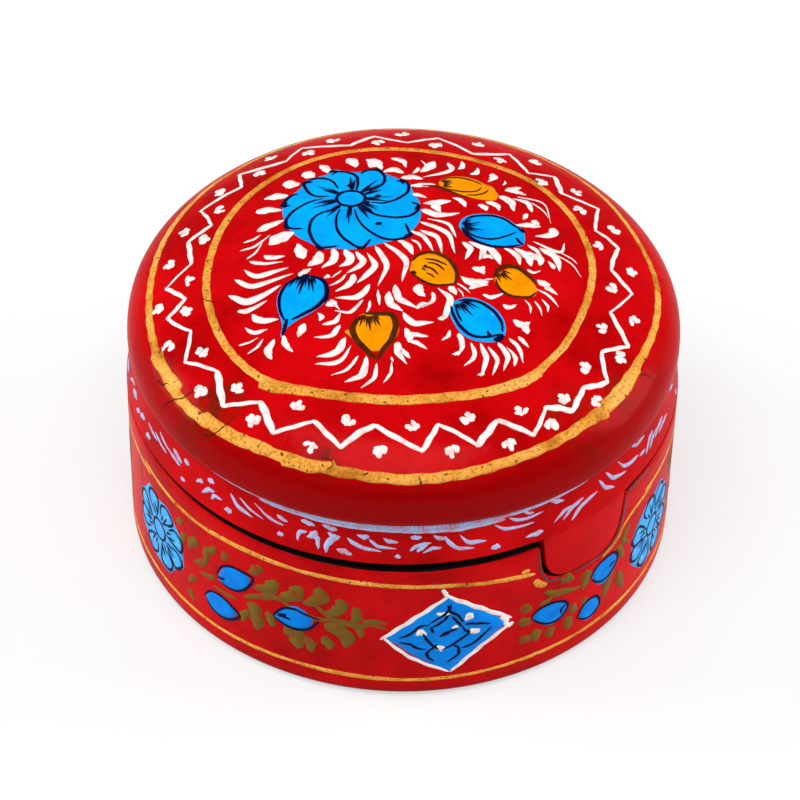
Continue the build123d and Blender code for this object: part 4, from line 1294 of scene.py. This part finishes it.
right_leaves = [
    ((25.8, 18.7), (27, 17.6), (28.2, 16.8), 1.7), ((25.3, 15), (26.8, 14.3), (28.3, 13.3), 1.8),
    ((25.8, 10.7), (27, 9.7), (28.3, 9), 1.6), ((28.9, 11.3), (29.6, 9.8), (29.6, 8.1), 1.8),
    ((32.4, 10.3), (33, 9), (33, 7.5), 1.8), ((36.9, 10.8), (37.6, 9), (37.6, 7.2), 1.8),
    ((38.4, 13.3), (38.8, 12), (38.5, 10.7), 1.4), ((30.8, 20.2), (35, 18.2), (40.4, 16.9), 1.3),
    ((34.8, 21.8), (36.6, 21), (38.4, 19.8), 1.8), ((41.4, 20.4), (41.8, 18), (40.9, 15.7), 1.9),
    ((41.8, 13.4), (41.6, 12.5), (41, 11.8), 1.2), ((50.2, 16.4), (48.4, 12.4), (47.4, 9.2), 1.8),
    ((51.8, 13.4), (52.8, 10.8), (54.2, 7.7), 1.9), ((55.2, 23.4), (53, 21), (55.2, 18.7), 1.5),
    ((30, 17.6), (31.4, 17.4), (33.2, 18.2), 1.0), ((51, 20.4), (52.4, 18.2), (53.4, 15.8), 1.4),
]
right_buds = [
    ([(28.6, 14.8), (30.4, 16.4), (33.2, 16.3), (36, 15.4), (37, 13.6), (35.6, 11.6), (33, 10.9),
      (30.6, 12.2)], (32.6, 13.9)),
    ([(43.6, 17.6), (45, 19.4), (47.4, 20), (49.8, 19.4), (51, 17.6), (50, 15.4), (47.4, 13.6),
      (45, 14.8)], (47.2, 17.2)),
    ([(40.6, 8.8), (41.6, 11.2), (43.6, 11.7), (45.4, 11), (46, 8.8), (44.6, 7), (42.4, 6.9)], (43.4, 9.3)),
]
right_bud_lines = [
    [(28, 14.6), (29.8, 16.2), (32.4, 16.5), (35.4, 15.8), (37.2, 14), (35.8, 11.8), (33.2, 11.3),
     (30.6, 12.4), (28.4, 14.4)],
    [(42.8, 17), (44.6, 19.2), (47.4, 19.9), (50, 19.6), (51.4, 17.8), (50.2, 15.6), (47.6, 14.4),
     (45, 15.2), (43.4, 17)],
    [(39.8, 8.8), (41.4, 11.2), (43.4, 11.9), (45.6, 11.2), (46.4, 8.8), (44.6, 7.3), (42.2, 7.4),
     (40, 8.8)], [(48.6, 16.8), (49.4, 17), (50.6, 17.2)], [(35.4, 12.6), (35.6, 13.8), (36.6, 14.4)],
]
leaf_spread = 1.22
bud_line = 0.6
olives, blues, navies = bmesh.new(), bmesh.new(), bmesh.new()
for turn in medallion_turns:
    for start, middle, end, width in left_leaves + right_leaves:
        brush(
            olives, side_path((start, middle, end), turn), leaf_spread * width, lay_on_body, gold_lift,
            belly=0.42, full=0.6, steps=12, ragged=0.2,
        )
    for edge, middle in left_buds + right_buds:
        middle_spot = side_path([middle], turn)[0]
        fill(blues, side_path(edge, turn), middle_spot, lay_on_body, white_lift, around=32, rings=3)
    for line in left_bud_lines + right_bud_lines:
        brush(navies, side_path(line, turn), bud_line, lay_on_body, line_lift, full=0.25, steps=28)
painted("spray_olive_leaves", olives, olive, "box")
painted("spray_blue_buds", blues, diamond_blue, "box")
painted("spray_navy_lines", navies, navy, "box")

# Blue rosettes at the sides: a round pool of blue, with navy petal loops round a light eye.
# Each petal has two short navy hatch lines and a dab of lighter blue.
rosette_blue = paint("rosette_blue_paint", (0.04, 0.42, 0.90), (0.12, 0.34, 0.78), 200, 0.3, 0.6)
rosette_places = ((-59.5, 16), (66, 15))
rosette_radius = 8.6
petals = 8
petal_sweep = ((0.30, 0.0), (0.55, -0.30), (0.88, -0.34), (0.97, 0.0), (0.80, 0.26), (0.48, 0.24))
petal_hatching = ((-0.12, 0.42, 0.72), (0.1, 0.36, 0.6))
rosette_light = paint("rosette_light_paint", (0.16, 0.56, 0.95), (0.05, 0.42, 0.90), 420)
blues, navies, lights = bmesh.new(), bmesh.new(), bmesh.new()
for azimuth, height in rosette_places:
    centre = Vector((azimuth * side_arc, height))
    edge = []
    for k in range(2 * petals):
        reach = rosette_radius * (1.02 if k % 2 else 0.94) + wobble(k + azimuth, 0.4)
        edge.append(centre + pointing(math.tau * k / (2 * petals)) * reach)
    fill(blues, edge, centre, lay_on_body, blue_lift, around=96, rings=6)
    for k in range(petals):
        turn = math.tau * (k + 0.5) / petals + wobble(k, 0.1)
        loop = [centre + pointing(turn + lean) * rosette_radius * reach for reach, lean in petal_sweep]
        brush(navies, loop, 0.62, lay_on_body, line_lift, full=0.3, steps=28, ragged=0.2)
        for lean, near, far in petal_hatching:
            out = pointing(turn + lean) * rosette_radius
            line = [centre + out * near, centre + out * (near + far) / 2, centre + out * far]
            brush(navies, line, 0.5, lay_on_body, line_lift, belly=0.3, steps=6)
        out = pointing(turn - 0.16) * rosette_radius
        dab = [centre + out * 0.66, centre + out * 0.78, centre + out * 0.9]
        brush(lights, dab, 1.5, lay_on_body, white_lift, full=0.5, steps=8, ragged=0.25)
    eye = [centre + pointing(math.tau * k / 8) * rosette_radius * 0.26 for k in range(8)]
    brush(navies, eye, 0.55, lay_on_body, line_lift, steps=24, closed=True)
painted("rosette_blue", blues, rosette_blue, "box")
painted("rosette_light_dabs", lights, rosette_light, "box")
painted("rosette_navy_lines", navies, navy, "box")


# Studio: a white table that keeps the soft shadow of the box, in a dim white room.
# A large light hangs overhead, and one stands at each side.
table_glow = 0.55


def white_table():
    material, nodes, links, shader = new_material("white_table")
    shader.inputs["Base Color"].default_value = (0.9, 0.9, 0.9, 1)
    shader.inputs["Roughness"].default_value = 0.8
    seen = nodes.new("ShaderNodeEmission")
    seen.inputs["Color"].default_value = (1, 1, 1, 1)
    path = nodes.new("ShaderNodeLightPath").outputs
    any_view = worked(nodes, links, "MAXIMUM", path["Is Camera Ray"], path["Is Glossy Ray"])
    share = worked(nodes, links, "MULTIPLY", any_view, table_glow)
    both = nodes.new("ShaderNodeMixShader")
    links.new(share, both.inputs[0])
    links.new(shader.outputs[0], both.inputs[1])
    links.new(seen.outputs[0], both.inputs[2])
    links.new(both.outputs[0], nodes["Material Output"].inputs["Surface"])
    floor_mesh = bpy.data.meshes.new("white_table")
    bm = bmesh.new()
    bmesh.ops.create_grid(bm, x_segments=1, y_segments=1, size=6)
    bm.to_mesh(floor_mesh)
    bm.free()
    floor_mesh.materials.append(material)
    floor = bpy.data.objects.new("white_table", floor_mesh)
    bpy.context.collection.objects.link(floor)


def soft_light(name, place, size, power):
    lamp = bpy.data.lights.new(name, "AREA")
    lamp.shape = "RECTANGLE"
    lamp.size, lamp.size_y = size
    lamp.energy = power
    light = bpy.data.objects.new(name, lamp)
    bpy.context.collection.objects.link(light)
    spot = from_plan @ Vector(place)
    light.location = spot
    light.rotation_euler = (Vector((0, 0, 0.03)) - spot).to_track_quat("-Z", "Y").to_euler()


white_table()
soft_light("overhead", (-0.1, -0.35, 1.1), (0.9, 0.7), 8)
soft_light("left_side", (-0.9, 0.1, 0.35), (0.5, 0.6), 5)
soft_light("right_side", (0.9, 0.1, 0.35), (0.5, 0.6), 5)
room = bpy.data.worlds.new("room")
bpy.context.scene.world = room
room.use_nodes = True
walls = room.node_tree.nodes["Background"]
walls.inputs["Color"].default_value = (1, 1, 1, 1)
walls.inputs["Strength"].default_value = 0.35

bpy.context.scene.view_settings.view_transform = "Standard"
